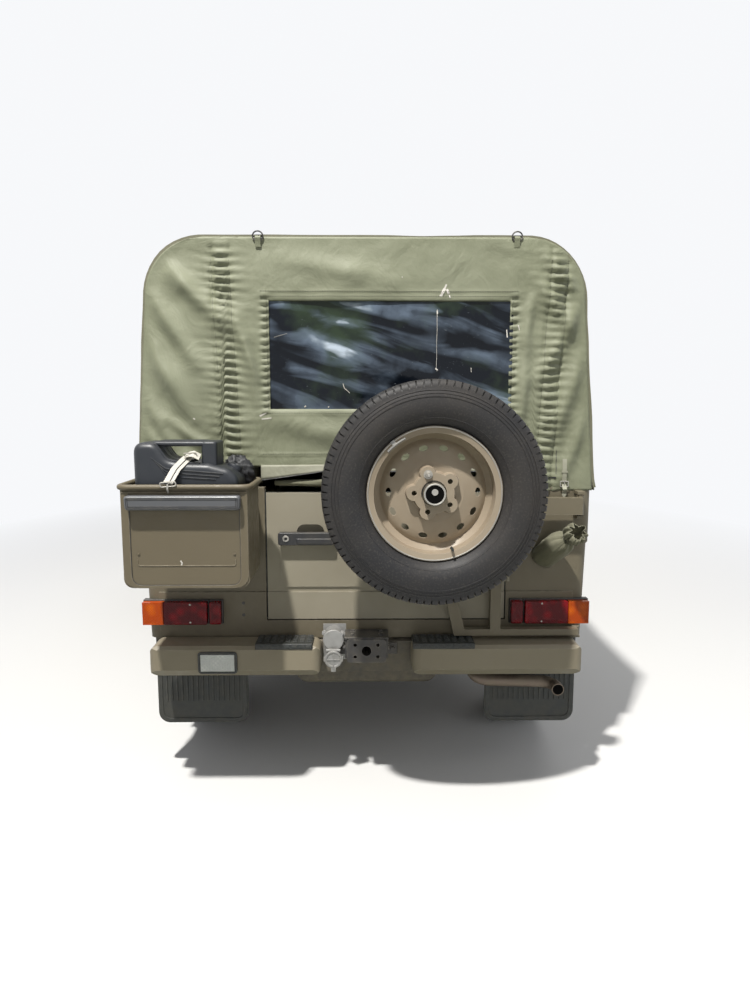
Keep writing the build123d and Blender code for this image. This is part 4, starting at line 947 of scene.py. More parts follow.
def hood_binding():
    """Dark bound edge where the rear curtain is sewn to the cover, and the side windows' binding."""
    edge = hood_run(HOOD_HEM + 0.01)
    rim = [hood_point(s, REAR_Y + 0.006, 0.002) for s in stops(-edge, edge, 0.03)]
    shapes = [ribbon(rim, 0.01, 0.006, (0, -1, 0.001))]
    for out in SIDES:
        low, high = (out * hood_run(z) for z in SIDE_WINDOW_Z)
        corners = list(zip((low, low, high, high), SIDE_WINDOW_Y + SIDE_WINDOW_Y[::-1]))
        path = []
        for (s0, y0), (s1, y1) in zip(corners, corners[1:] + corners[:1]):
            path += [hood_point(s0 + (s1 - s0) * k / 12, y0 + (y1 - y0) * k / 12, 0.003) for k in range(12)]
        shapes.append(ribbon(path, 0.022, 0.003, (out, 0, 0.07), closed=True))
    make("hood_binding", shapes, sleeve_canvas)


# Wheels


TREAD_PITCHES = 92
TREAD_EDGE = 0.084
TREAD_TOP = 0.37
# Depths in the tread: grooves round the tyre, cross slots near the middle line, in the ribs, at the edge
GROOVE, FINE_SLOT, SLOT, EDGE_SLOT = 0.009, 0.002, 0.0065, 0.011
# Half of the tyre's outline from the bead to the tread's shoulder: distance from the middle, radius
SIDEWALL = (
    (0.0695, 0.2046), (0.0715, 0.222), (0.08, 0.227), (0.0905, 0.2385), (0.095, 0.244), (0.0972, 0.2444),
    (0.099, 0.2472), (0.0984, 0.2482), (0.1045, 0.26), (0.1082, 0.2725), (0.1099, 0.286), (0.1093, 0.299),
    (0.1074, 0.311), (0.109, 0.3118), (0.1087, 0.3146), (0.1064, 0.3154), (0.1048, 0.3215), (0.106, 0.3223),
    (0.1055, 0.3242), (0.1036, 0.325), (0.1012, 0.3318), (0.1028, 0.3328), (0.102, 0.3352), (0.0996, 0.336),
    (0.098, 0.342),
)
# Tread rows: distance from the middle, whether the row is down in a groove round the tyre
TREAD_ROWS = (
    (0.0975, 0), (0.0955, 0), (0.092, 0), (TREAD_EDGE, 0), (0.056, 0), (0.0545, 1), (0.0485, 1), (0.047, 0),
    (0.023, 0), (0.0215, 1), (0.016, 1), (0.0145, 0),
)
# Stations of one tread pitch: its share of the pitch, whether a cross slot is cut there
SLOTS = ((0.0, 0), (0.78, 0), (0.81, 1), (0.97, 1))


def tread_radius(a):
    """Radius of the tread's surface at a distance from the middle."""
    if a > 0.0919:
        return 0.345 + (0.0975 - a) / 0.0056 * 0.015
    if a > TREAD_EDGE:
        return 0.36 + (0.092 - a) / 0.008 * 0.005
    return TREAD_TOP - 0.005 * (a / TREAD_EDGE) ** 2


def slot_depth(a, groove, slot):
    """How deep the tread lies at a distance from the middle."""
    if groove:
        return GROOVE
    if not slot:
        return 0.0
    if a <= 0.015:
        return FINE_SLOT
    return EDGE_SLOT if a > 0.06 else SLOT


def tyre(node, centre, outboard, body):
    """Road tyre with ribs, cross slots in the tread and rings on the sidewall."""
    rows = [(a, r, 0, 0) for a, r in SIDEWALL]
    rows += [(a, tread_radius(a), groove, 1) for a, groove in TREAD_ROWS]
    rows = rows + [(-a, r, groove, tread) for a, r, groove, tread in reversed(rows)]
    centre, outboard = Vector(centre), Vector(outboard)
    u, v = across(outboard)
    rings = []
    for pitch in range(TREAD_PITCHES):
        for share, slot in SLOTS:
            ring = []
            for a, r, groove, tread in rows:
                slant = 0.0
                if tread:
                    slant = 0.5 * (1 if a > 0 else -1) + abs(a) * 9 * (1 if abs(a) < 0.05 else 0.3)
                    r = r - slot_depth(abs(a), groove, slot)
                    if groove:
                        a += 0.0025 * (1 if pitch % 2 else -1)
                turn = 2 * pi * (pitch + share + slant) / TREAD_PITCHES
                ring.append(centre + outboard * a + (u * cos(turn) + v * sin(turn)) * r)
            rings.append(ring)
    points, faces = loft(rings, closed=True)
    count = len(rows)
    faces = [face for i, face in enumerate(faces) if i % count != count - 1]
    piece = make("treaded_" + node, (points, faces), tyre_rubber, body, turn=38)
    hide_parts(node)


def wheels():
    """Tyres of the four road wheels and of the spare."""
    for end in ("front", "rear"):
        for side, out in zip(("left", "right"), SIDES):
            corner = f"{end}_{side}"
            centre = [(a + b) / 2 for a, b in zip(*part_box("tyre_" + corner))]
            tyre("tyre_" + corner, centre, (out, 0, 0), "wheel_" + corner)
    tyre("tyre_spare", SPARE, BACK, "spare_carrier")


def springs():
    """Coil springs and dampers at all four wheels."""
    coils, dampers = [], []
    coil, lap, laps = 0.046, 18, 6
    for axle_y in AXLES:
        for out in SIDES:
            x = out * 0.452
            helix = []
            for i in range(laps * lap + 1):
                turn, height = 2 * pi * i / lap, 0.418 + 0.121 * i / (laps * lap)
                helix.append((x + coil * cos(turn), axle_y + coil * sin(turn), height))
            coils.append(tube(helix, 0.0065))
            coils.append(disc((x, axle_y, 0.412), UP, 0.054, 0.006, 24))
            coils.append(disc((x, axle_y, 0.54), UP, 0.054, 0.005, 24))
            damper = [(0, 0.014), (0.06, 0.014), (0.062, 0.021), (0.13, 0.021)]
            dampers.append(lathe(damper, (x, axle_y, 0.413), UP, 20))
    piece = make("coil_springs", coils, dark_paint)
    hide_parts("suspension")
    make("dampers", dampers, black_plastic)


# Seats


def pillow(low, high, lean=0.0, crown=0.022):
    """Crowned cushion between two corners, its sides drawn in between the corners, leaned about X."""
    size = [(b - a) / 2 for a, b in zip(low, high)]
    middle = [(a + b) / 2 for a, b in zip(low, high)]
    bm = bmesh.new()
    bmesh.ops.create_cube(bm, size=2)
    bmesh.ops.subdivide_edges(bm, edges=bm.edges, cuts=10, use_grid_fill=True)
    for vert in bm.verts:
        p = vert.co / sum(abs(c) ** 8 for c in vert.co) ** (1 / 8)
        swell = [(1 - p[(i + 1) % 3] ** 2) * (1 - p[(i + 2) % 3] ** 2) for i in range(3)]
        x, y, z = (p[i] * (size[i] - crown + crown * swell[i]) for i in range(3))
        vert.co = (
            middle[0] + x,
            middle[1] + y * cos(lean) - z * sin(lean),
            middle[2] + y * sin(lean) + z * cos(lean),
        )
    points = [v.co.copy() for v in bm.verts]
    faces = [tuple(v.index for v in f.verts) for f in bm.faces]
    bm.free()
    return points, faces


def seats():
    """Seat cushions and backs, and the bench pads, over steel seat boxes."""
    pads, frames = [], []
    for x in (-0.41, 0.41):
        pads.append(pillow((x - 0.225, 0.24, 0.835), (x + 0.225, 0.69, 0.945), -0.02))
        pads.append(pillow((x - 0.215, 0.13, 0.94), (x + 0.215, 0.225, 1.43), radians(13)))
        frames.append(fin(x, 0.2, (0.27, 0.63), (0.631, 0.84)))
        for side in SIDES:
            frames.append(tube([(x + side * 0.19, 0.25, 0.82), (x + side * 0.19, 0.13, 1.36)], 0.012))
    for out in SIDES:
        for start, end in ((-1.855, -1.33), (-1.32, -0.8), (-0.79, -0.26)):
            near, far = sorted((out * 0.485, out * 0.785))
            pads.append(pillow((near, start, 0.874), (far, end, 0.942), crown=0.015))
        frames.append(tube([(out * 0.5, -0.28, 0.631), (out * 0.5, -0.28, 0.874)], 0.016, 10))
    piece = make("seat_pads", pads, seat_vinyl, turn=180)
    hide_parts("seats")
    make("seat_frames", frames, dark_paint, bevel=0.003)


# Jerrycan and its holder


HOLDER_X = (-0.8, -0.386)
HOLDER_Y = (-2.28, -2.05)
HOLDER_LOW = 0.87
HOLDER_RIM_Z = 1.206
HOLDER_FACE = HOLDER_Y[0]
RIM_OUT = 0.007
CAN_BACK, CAN_FRONT = -2.252, -2.09
CAN_MIDDLE = (CAN_BACK + CAN_FRONT) / 2
# Side outline of the can, from its lower left corner: x, z
CAN_OUTLINE = (
    (-0.765, 0.877), (-0.421, 0.877), (-0.421, 1.232), (-0.452, 1.262), (-0.52, 1.28), (-0.6, 1.282),
    (-0.655, 1.294), (-0.69, 1.349), (-0.765, 1.349),
)
CAN_EDGE = 0.024


def jerrycan():
    """Moulded can: a high left shoulder, a well under three carrying bars, a sloping right shoulder."""
    outline = rounded([(x, 0, z) for x, z in CAN_OUTLINE], 0.045, True, 7)
    quarter = [k / 6 * pi / 2 for k in range(7)]
    rings = []
    for side, y, steps in ((1, CAN_BACK, quarter), (-1, CAN_FRONT, quarter[::-1])):
        for turn in steps:
            place = y + side * CAN_EDGE * (1 - cos(turn))
            line = inset_line(outline, CAN_EDGE * (1 - sin(turn)))
            rings.append([Vector((p.x, place, p.z)) for p in line])
    body = make("jerrycan_body", loft(rings), can_plastic, turn=50)
    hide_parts("jerrycan")
    bars, ribs = [], []
    for y in (CAN_BACK + 0.032, CAN_MIDDLE, CAN_FRONT - 0.032):
        path = rounded([(-0.716, y, 1.322), (-0.7, y, 1.3435), (-0.53, y, 1.3435), (-0.506, y, 1.3)], 0.022)
        bars.append(sweep(path, circle(0.0125, 14, 0.9, 0.72)))
    make("jerrycan_bars", bars, can_plastic, turn=60)
    deep = (CAN_BACK + 0.02, CAN_FRONT - 0.02)
    block = round_box((-0.545, -0.492), deep, (1.266, 1.3, 1.34, 1.351), 0.016)
    make("jerrycan_bar_end", [block], can_plastic, bevel=0.006)
    spout = [(0, 0.027), (0.02, 0.027), (0.026, 0.024), (0.026, 0.012), (0.022, 0.01)]
    spout = lathe(spout, (-0.455, CAN_FRONT - 0.05, 1.245), (0.35, 0, 1), 28)
    make("jerrycan_spout", [spout], can_plastic)
    shoulder = ((-0.708, 1.346), (-0.69, 1.342), (-0.655, 1.292), (-0.6, 1.282), (-0.55, 1.28))
    for y in (CAN_BACK + 0.016, CAN_BACK + 0.048, CAN_MIDDLE + 0.012, CAN_FRONT - 0.048, CAN_FRONT - 0.016):
        ribs.append(pipe([(x, y, z) for x, z in shoulder], 0.03, 0.0034))
    for shift in (0.0, 0.012, 0.024):
        path = [
            (-0.738 + shift, CAN_BACK + 0.01, 1.33 - shift),
            (-0.7 + shift, CAN_BACK + 0.001, 1.296 - shift),
            (-0.655, CAN_BACK - 0.0005, 1.262 - shift),
            (-0.47 - shift, CAN_BACK - 0.0005, 1.247 - shift * 0.8),
        ]
        ribs.append(pipe(path, 0.05, 0.0026))
    make("jerrycan_ribs", ribs, can_plastic)


def can_holder_trim():
    """Tube rim with a lip, flat flange bands, the moulded bar with its lines, pressed line and mark."""
    (left, right), (near, far), z, face = HOLDER_X, HOLDER_Y, HOLDER_RIM_Z, HOLDER_FACE
    outer = oblong((left - RIM_OUT, right + RIM_OUT), (near - RIM_OUT, far + RIM_OUT))
    corners = [(x, y, z) for x, y in outer]
    lip = [(x, face - 0.003, z - 0.017) for x in (left + 0.004, right - 0.004)]
    make("holder_rim", [pipe(corners, 0.035, 0.0095, 14, True), tube(lip, 0.0035)], holder_paint)
    band = []
    for d in (0.0, 0.0265):
        low, a, b = HOLDER_LOW + d * 0.35, left + 0.001 + d, right - 0.001 - d
        line = [(a, 0, 1.186), (a, 0, low), (b, 0, low), (b, 0, 1.186)]
        band.append(rounded(line, 0.052 - d * 0.6, False, 8))
    in_and_out = (face + 0.001, face - 0.0035)
    rings = [
        [Vector((p.x, y, p.z)) for p, ys in ((a, in_and_out), (b, in_and_out[::-1])) for y in ys]
        for a, b in zip(*band)
    ]
    make("holder_band", [loft(rings)], holder_paint, bevel=0.0012)
    # Black strip in the groove along the flange band's inner edge: painted shade in the gap
    gap = [Vector((p.x, face - 0.0012, p.z)) for p in band[1]]
    make("holder_gap_shade", [ribbon(gap, 0.0024, 0.0035)], black_cloth)
    press = [(-0.752, face, 0.966), (-0.752, face, 0.945), (-0.43, face, 0.945), (-0.43, face, 0.966)]
    make("holder_pressing", [pipe(press, 0.01, 0.0022)], holder_paint)
    mark = upright([(-0.612, 0.962), (-0.607, 0.955), (-0.609, 0.947)], y=face - 0.0005)
    make("holder_mark", [ribbon(mark, 0.005, 0.0008)], webbing)
    outline = upright([(-0.778, 1.134), (-0.408, 1.134), (-0.406, 1.181), (-0.781, 1.181)], 0.012)
    make("holder_bar", [plate(outline, face - 0.034, 0.033)], bar_plastic, bevel=0.006)
    lines = []
    for inset in (0.0075, 0.0125):
        lines.append(tube([(p.x, face - 0.0342, p.z) for p in inset_line(outline, inset)], 0.0011, 6, True))
    make("holder_bar_lines", lines, black_plastic)
    places = [(x, face - 0.0005, 0.985) for x in (-0.748, -0.434)]
    make("holder_bolts", nuts(places, BACK, 0.004, 0.003), holder_paint)
    can_strap(face - RIM_OUT - 0.011, z)
    crumpled_cover()


def can_strap(y, z):
    """Cotton strap over the can, with its steel hook on the rim."""
    front, back = CAN_FRONT, CAN_BACK
    path = rounded([
        (-0.56, front + 0.012, z), (-0.58, front + 0.006, 1.262), (-0.585, front - 0.03, 1.295),
        (-0.59, back + 0.045, 1.3), (-0.6, back + 0.012, 1.287), (-0.622, back - 0.006, 1.262),
        (-0.64, y + 0.005, z + 0.014),
    ], 0.02)
    tail = [(-0.596, back + 0.03, 1.306), (-0.57, back + 0.012, 1.312), (-0.548, back + 0.018, 1.3)]
    facing = (0.1, -0.7, 0.7)
    straps = [ribbon(path, 0.031, 0.0028, facing), ribbon(rounded(tail, 0.01), 0.026, 0.0026, facing)]
    make("can_strap", straps, webbing)
    # Black line along the strap's fold over the can: painted shade in the crease
    seam = [Vector(p) + Vector((0.004, -0.0022, 0.0022)) for p in path[14:]]
    make("can_strap_fold_shade", [tube(seam, 0.0011, 6)], black_cloth)
    buckle = [(-0.666, y, z + 0.016), (-0.616, y, z + 0.02), (-0.612, y, z + 0.006), (-0.662, y, z + 0.002)]
    hook = [(-0.64, y, z + 0.012), (-0.64, y - 0.004, z - 0.004), (-0.64, y + 0.006, z - 0.016)]
    clip = [(-0.6, back + 0.018, 1.312), (-0.56, back + 0.012, 1.316), (-0.556, back + 0.014, 1.304)]
    parts = [pipe(buckle, 0.005, 0.0024, 8, True), pipe(hook, 0.008, 0.0035), pipe(clip, 0.005, 0.0022)]
    make("can_strap_hook", parts, bare_steel)


def crumpled_cover():
    """Black cloth cover, crumpled and stuffed between the can and the holder's rim."""
    centre = Vector((-0.452, -2.074, 1.238))
    rings = []
    for k in range(22):
        low = 0.16 + (pi - 0.16) * k / 22
        ring = []
        for turn in turns(44):
            way = Vector((sin(low) * cos(turn), sin(low) * sin(turn) * 0.55, cos(low)))
            fold = abs(noise.noise(way * 3.1 + Vector((4, 1, 7)))) * 0.55
            fold += abs(noise.noise(way * 7.0)) * 0.35
            ring.append(centre + way * (0.062 - 0.04 * fold) * (1.0 if low < 1.6 else 1.1))
        rings.append(ring)
    piece = cloth("crumpled_cover", loft(rings, caps=False), black_cloth, 0.0015, turn=70)


# Rings of the aerial's bag: share of the way from the foot to the tip, radius, depth of the folds
SLEEVE = (
    (-0.055, 0.046, 0.0), (0.0, 0.047, 0.001), (0.25, 0.048, 0.002), (0.5, 0.046, 0.003),
    (0.68, 0.04, 0.004), (0.76, 0.03, 0.005), (0.82, 0.02, 0.004), (0.86, 0.019, 0.003),
    (0.92, 0.027, 0.008), (0.97, 0.032, 0.011), (1.02, 0.035, 0.014), (1.07, 0.035, 0.016),
    (1.12, 0.032, 0.017), (1.16, 0.027, 0.018),
)


def aerial_sleeve():
    """Canvas bag over the aerial's foot: a round body, a tied neck and a crumpled frill."""
    foot, tip = Vector((0.683, REAR_Y - 0.002, 0.9)), Vector((0.743, REAR_Y - 0.165, 1.006))
    axis = (tip - foot).normalized()
    u, v = across(axis)
    length = (tip - foot).length
    rings = []
    for share, radius, fold in SLEEVE:
        ring = []
        for turn in turns(96):
            c, s = cos(turn), sin(turn)
            ripple = 0.7 * sin(7 * turn + 1.6 * sin(2 * turn + share))
            ripple += 0.9 * fractal(c * 3, s * 3, share * 2)
            r = radius + fold * ripple * 0.55 + 0.004 * fractal(c * 1.4, s * 1.4, share * 5 + 9)
            point = foot + axis * (share * length) + (u * c + v * s) * r
            point.y = min(point.y, REAR_Y - 0.0005)
            ring.append(point)
        rings.append(ring)
    bag = cloth("aerial_sleeve", loft(rings, caps=False), sleeve_canvas, 0.002)
    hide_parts("aerial_cover")
    ties = []
    for share in (0.845, 0.865):
        centre = foot + axis * share * length
        ties.append(tube([centre + (u * cos(t) + v * sin(t)) * 0.0215 for t in turns(24)], 0.0022, 8, True))
    collar = [foot + (u * cos(t) + v * sin(t)) * 0.049 for t in turns(32)]
    ties.append(tube([Vector((p.x, REAR_Y - 0.004, p.z)) for p in collar], 0.003, 8, True))
    make("sleeve_ties", ties, stitch_thread)


# Fittings of the hood


FLAP_TOP = 1.247
FLAP_X = (-0.394, 0.6)


def flap_point(x, t):
    """Point on the light flap over the rear door, t of the way down to its lower edge."""
    hem = 1.19 + 0.032 * min(1.0, (x + 0.394) / 0.229)
    out = curtain_slack(x, FLAP_TOP) + 0.004 + 0.005 * t + 0.004 * t * fractal(x * 6, 1.0, 3.0)
    return Vector((x, CURTAIN_Y - out, FLAP_TOP + (hem - FLAP_TOP) * t))


def hood_fittings():
    """Rings on the hood's rear edge, the flap and rolled cloth over the door, the corner's strap."""
    rings, tabs = [], []
    y = CURTAIN_Y - 0.009
    for x in (-0.389, 0.547):
        ring = []
        for t in turns(28):
            ring.append((x + 0.0185 * cos(t), y - 0.002 * sin(t), HOOD_TOP + 0.001 + 0.0175 * sin(t)))
        rings.append(tube(ring, 0.0026, 8, True))
        rings.append(tube([(x - 0.016, y, HOOD_TOP - 0.006), (x + 0.016, y, HOOD_TOP - 0.006)], 0.0022))
        path = [(x, y + forward, HOOD_TOP + up) for forward, up in (
            (0.002, -0.036), (-0.003, -0.014), (-0.006, -0.004), (0, 0.002), (0.02, 0.005),
        )]
        tabs.append(ribbon(rounded(path, 0.004), 0.02, 0.002, (0, -1, 1)))
    make("hood_rings", rings, black_iron)
    make("hood_ring_tabs", tabs, hood_canvas)
    xs = stops(*FLAP_X, 0.012)
    piece = cloth("door_flap", grid(xs, stops(0.0, 1.0, 0.2), flap_point), faded_canvas, 0.002)
    # Black line along the flap's lower edge: painted shadow under the edge
    edge = [flap_point(x, 1.0) + Vector((0, -0.001, -0.001)) for x in xs]
    make("door_flap_edge_shadow", [tube(edge, 0.0019, 6)], black_cloth)
    sections = []
    for x in stops(-0.345, 0.6, 0.018):
        radius = 0.008 + 0.009 * min(1.0, (x + 0.345) * 2.6)
        section = []
        for turn in turns(20):
            r = radius * (1 + 0.08 * sin(2 * turn + 7 * x)) + 0.002 * fractal(x * 8, cos(turn), sin(turn))
            section.append(Vector((x, REAR_Y + 0.006 + r * cos(turn), 1.178 + r * sin(turn))))
        sections.append(section)
    roll = make("rolled_flap", loft(sections), sleeve_canvas, turn=180)
    corner_strap(0.746)
    # Black strips at the curtain's right corner: painted shade in a slit and along a line above it
    slit = [curtain_point(x, 1.197, 0.0016) for x in stops(0.684, 0.716, 0.004)]
    line = [curtain_point(0.716, z, 0.0016) for z in stops(1.21, 1.3, 0.005)]
    make("corner_slit_shade", [ribbon(slit, 0.006, 0.001), ribbon(line, 0.002, 0.001)], black_cloth)


def corner_strap(x):
    """Strap with its buckle, keeper and pointed tip at the curtain's right corner."""
    path = [curtain_point(x, z, 0.004) for z in stops(1.172, 1.268, 0.012)][::-1]
    path += [Vector((x, REAR_Y - 0.024, 1.155)), Vector((x, REAR_Y - 0.016, 1.138))]
    tip = [(x - 0.008, 1.141), (x + 0.008, 1.141), (x + 0.008, 1.132), (x, 1.121), (x - 0.008, 1.132)]
    keeper = fin(x, 0.011, (path[4].y - 0.003, path[4].y + 0.002), (1.217, 1.223))
    straps = [ribbon(path, 0.016, 0.0022), plate(upright(tip), REAR_Y - 0.017, 0.002), keeper]
    make("corner_strap", straps, faded_canvas)
    y = CURTAIN_Y - curtain_slack(x, 1.173) - 0.009
    corners = upright(oblong((x - 0.015, x + 0.015), (1.163, 1.184)), y=y)
    tongue = tube([(x, y - 0.001, 1.186), (x, y - 0.001, 1.162)], 0.0015)
    make("corner_buckle", [pipe(corners, 0.004, 0.0019, 8, True), tongue], bare_steel)


# Pale rubbed marks on the curtain: start x, z, end x, z, width
SCUFFS = (
    (0.272, 1.862, 0.288, 1.891, 0.01), (0.287, 1.889, 0.294, 1.905, 0.006),
    (0.295, 1.888, 0.303, 1.871, 0.009), (0.305, 1.868, 0.308, 1.857, 0.004),
    (-0.395, 1.428, -0.372, 1.441, 0.007), (-0.388, 1.417, -0.352, 1.421, 0.005),
    (0.13, 1.93, 0.133, 1.929, 0.004), (-0.64, 1.42, -0.634, 1.416, 0.004),
    (0.56, 1.76, 0.566, 1.742, 0.003),
)
# White scratches and creases on the rear window, and two painted highlights along its lower left edge (the
# short marks near z 1.46): width, then the x and z of each place on the line
FILM_SCRATCHES_AND_HIGHLIGHTS = (
    (0.0015, 0.2615, 1.816, 0.2606, 1.78, 0.2618, 1.745, 0.2608, 1.7), (0.0045, 0.2612, 1.812, 0.2618, 1.8),
    (0.001, 0.2608, 1.7, 0.2616, 1.65, 0.2604, 1.6), (0.005, 0.257, 1.604, 0.2655, 1.597),
    (0.0026, -0.086, 1.548, -0.0805, 1.53, -0.071, 1.523), (0.0018, -0.071, 1.523, -0.061, 1.513),
    (0.0042, -0.23, 1.461, -0.224, 1.466), (0.0034, -0.142, 1.46, -0.138, 1.464),
    (0.0008, -0.338, 1.716, -0.29, 1.729), (0.004, 0.518, 1.744, 0.521, 1.716),
    (0.002, 0.39, 1.606, 0.3908, 1.59),
)


def film_scratches_and_highlights():
    """Fine white scratches that lie on the rear window, and two painted highlights along its lower left
    edge.
    """
    marks = []
    for width, *places in FILM_SCRATCHES_AND_HIGHLIGHTS:
        line = [film_point(x, z) - Vector((0, 0.0014, 0)) for x, z in zip(places[::2], places[1::2])]
        marks.append(ribbon(line, width, 0.0005))
    make("film_scratches_and_highlights", marks, webbing)


def hood_scuffs():
    """Rubbed marks that lie on the curtain."""
    marks = []
    for x0, z0, x1, z1, width in SCUFFS:
        line = [curtain_point(x0 + (x1 - x0) * k / 4, z0 + (z1 - z0) * k / 4, 0.0016) for k in range(5)]
        marks.append(ribbon(line, width, 0.0007))
    make("hood_scuffs", marks, webbing)


def side_fastenings():
    """Turn buttons along the hood's side hems and hooks on the tub below them."""
    buttons, hooks = [], []
    stud = [(0, 0.012), (0.002, 0.012), (0.003, 0.007), (0.006, 0.006)]
    washer = [(0, 0.009), (0.003, 0.009), (0.004, 0.006)]
    for out in SIDES:
        for y in row(BUTTON_Y, BUTTON_GAP, 9):
            place = hood_point(out * hood_run(1.176), y, 0.003)
            buttons.append(lathe(stud, place, (out, 0, 0.07), 18))
            knob = sorted((place.x + out * 0.006, place.x + out * 0.01))
            buttons.append(box(knob, (y - 0.01, y + 0.01), (place.z - 0.003, place.z + 0.003)))
            y += BUTTON_GAP / 2
            if y < DOOR_REAR_Y - 0.03:
                hook = ((0.856, 1.118), (0.858, 1.108), (0.872, 1.104), (0.874, 1.122), (0.87, 1.128))
                hooks.append(pipe([(out * x, y, z) for x, z in hook], 0.005, 0.0026))
                hooks.append(lathe(washer, (out * 0.8548, y, 1.118), (out, 0, 0), 16))
    make("hood_buttons", buttons, bare_steel)
    make("tub_hooks", hooks, dark_paint)


def hood_front_hem():
    """Hem that turns down over the windscreen's upper rail, with its welt."""
    eaves = hood_run(1.866)
    runs = stops(-eaves, eaves, 0.03)

    def place(s, t):
        top = hood_point(s, HOOD_FRONT)
        nx, nz = hood_outline(s)[2:]
        ripple = 0.0016 * sin(s * 41) * t
        forward = top.y + 0.004 + 0.003 * sin(pi * t) + ripple
        return Vector((top.x - nx * 0.034 * t, forward, top.z - nz * 0.034 * t))

    hem = make("hood_front_hem", grid(runs, stops(0.0, 1.0, 0.2), place), hood_canvas)
    thicken(hem, 0.002)
    welt = [hood_point(s, HOOD_FRONT + 0.001, 0.001) for s in runs]
    make("hood_front_welt", [tube(welt, 0.0042)], sleeve_canvas)


# Rear of the body


def tail_lamp_trim():
    """Dark housings and screws of the tail lamps, and plugged holes in the panel."""
    housings, screws, plugs = [], [], []
    head = [(0, 0.0036), (0.0015, 0.0036), (0.0022, 0.0026)]
    plug = [(0, 0.0062), (0.0012, 0.0062), (0.0014, 0.0045)]
    for out in SIDES:
        for lamp in ((0.549, 0.6005), (0.602, 0.853)):
            housings.append(side_box(out, lamp, (REAR_Y - 0.017, REAR_Y + 0.01), (0.635, 0.732)))
        for z in (0.649, 0.719):
            screws.append(lathe(head, (out * 0.669, REAR_Y - 0.0418, z), BACK, 14))
    make("tail_lamp_housings", housings, black_plastic, bevel=0.003)
    make("tail_lamp_screws", screws, bare_steel)
    for x, z in ((-0.4725, 0.715), (-0.4725, 0.668), (0.52, 0.72)):
        plugs.append(lathe(plug, (x, REAR_Y - 0.0062, z), BACK, 18))
    make("panel_plugs", plugs, black_plastic)


def rear_door_trim():
    """Black cover of the door handle with its lock, and the dark seal round the door."""
    cover = plate(upright(oblong((-0.332, -0.123), (0.946, 0.994)), 0.01), REAR_Y - 0.04, 0.027)
    foot = box((-0.33, -0.262), (REAR_Y - 0.02, REAR_Y - 0.0015), (0.948, 0.992))
    grip = box((-0.262, -0.13), (REAR_Y - 0.0425, REAR_Y - 0.038), (0.951, 0.972))
    make("rear_handle_cover", [cover, foot, grip], black_plastic, "rear_door", bevel=0.0035)
    centre = (-0.3025, REAR_Y - 0.04, 0.972)
    collar = lathe([(0, 0.0125), (0.0025, 0.012), (0.0035, 0.0095)], centre, BACK, 24)
    barrel = lathe([(0, 0.008), (0.005, 0.008), (0.005, 0.006), (0.0035, 0.0055)], centre, BACK, 20)
    make("rear_door_lock", [collar, barrel], bare_steel, "rear_door")
    # Upright black bar in the lock's face: painted shade of the key slot
    slot = box((-0.3037, -0.3013), (REAR_Y - 0.0448, REAR_Y - 0.0435), (0.968, 0.976))
    make("rear_lock_slot_shade", [slot], black_plastic, "rear_door")
    seal = upright([(-0.381, 1.145), (-0.381, 0.649), (0.533, 0.649), (0.533, 1.145)], y=REAR_Y + 0.004)
    make("rear_door_seal", [pipe(seal, 0.02, 0.0028)], rubber)


def bumper_trim():
    """Studded tops and folded edges of the step pads, and the reversing lamp's frame."""
    studs, edges = [], []
    for low, high in ((-0.41, -0.2), (0.172, 0.4)):
        edges.append(box((low, high), (BUMPER_REAR - 0.003, BUMPER_REAR + 0.018), (0.577, 0.5992)))
        count = round((high - low) / 0.027)
        xs = [low + (high - low) * (i + 0.5) / count for i in range(count)]
        for level, y in enumerate(row(-2.03, 0.0175, 5)):
            studs += [fin(x, 0.009, (y - 0.0048, y + 0.0048), (0.597, 0.6015)) for x in xs]
            if level == 0:
                deep = (BUMPER_REAR - 0.005, BUMPER_REAR - 0.001)
                studs += [fin(x, 0.009, deep, (0.583, 0.593)) for x in xs]
    make("step_pad_edges", edges, rubber, bevel=0.003)
    make("step_pad_studs", studs, rubber, bevel=0.0012)
    corners = upright(oblong((-0.6155, -0.4805), (0.4915, 0.5655)), y=BUMPER_REAR - 0.0035)
    make("reversing_lamp_frame", [pipe(corners, 0.01, 0.0052, 10, True)], rubber)
    depth = (BUMPER_REAR - 0.0092, BUMPER_REAR - 0.0075)
    ribs = [fin(x, 0.0012, depth, (0.501, 0.556)) for x in row(-0.606, 0.0094, 13)]
    make("reversing_lamp_ribs", ribs, lightened_clear_lens)


def exhaust_end():
    """Open end of the tail pipe: a near-black disc inside its rim is soot and painted shade for the dark
    inside.
    """
    end = (0.735, -1.975, 0.385)
    rim = [(-0.03, 0.0236), (0.0012, 0.0236), (0.0012, 0.0205), (-0.004, 0.02)]
    make("tail_pipe_rim", [lathe(rim, end, BACK, 28, caps=False)], exhaust_steel)
    make("tail_pipe_mouth_shade", [disc(end, BACK, 0.0206, 0.0004, 28, 0.0002)], soot_and_shade_black)


def mud_flap_ribs():
    """Upright ribs and a raised border on the mud flaps, and the strips that clamp them."""
    ribs, strips = [], []
    face = -1.844
    for out in SIDES:
        for i in range(15):
            ribs.append(fin(out * (0.512 + 0.0205 * i), 0.0032, (face - 0.004, face + 0.001), (0.292, 0.56)))
        border = [(0.487, 0.56), (0.487, 0.212), (0.823, 0.212), (0.823, 0.56)]
        ribs.append(ribbon(rounded([(out * x, face, z) for x, z in border], 0.04), 0.014, 0.006))
        strips.append(side_box(out, (0.48, 0.83), (face - 0.008, face), (0.548, 0.574)))
        places = [(out * (0.515 + 0.093 * k), face - 0.008, 0.561) for k in range(4)]
        strips += nuts(places, BACK, 0.007, 0.006)
    make("mud_flap_ribs", ribs, rubber, bevel=0.0012)
    make("mud_flap_strips", strips, dark_paint, bevel=0.001)


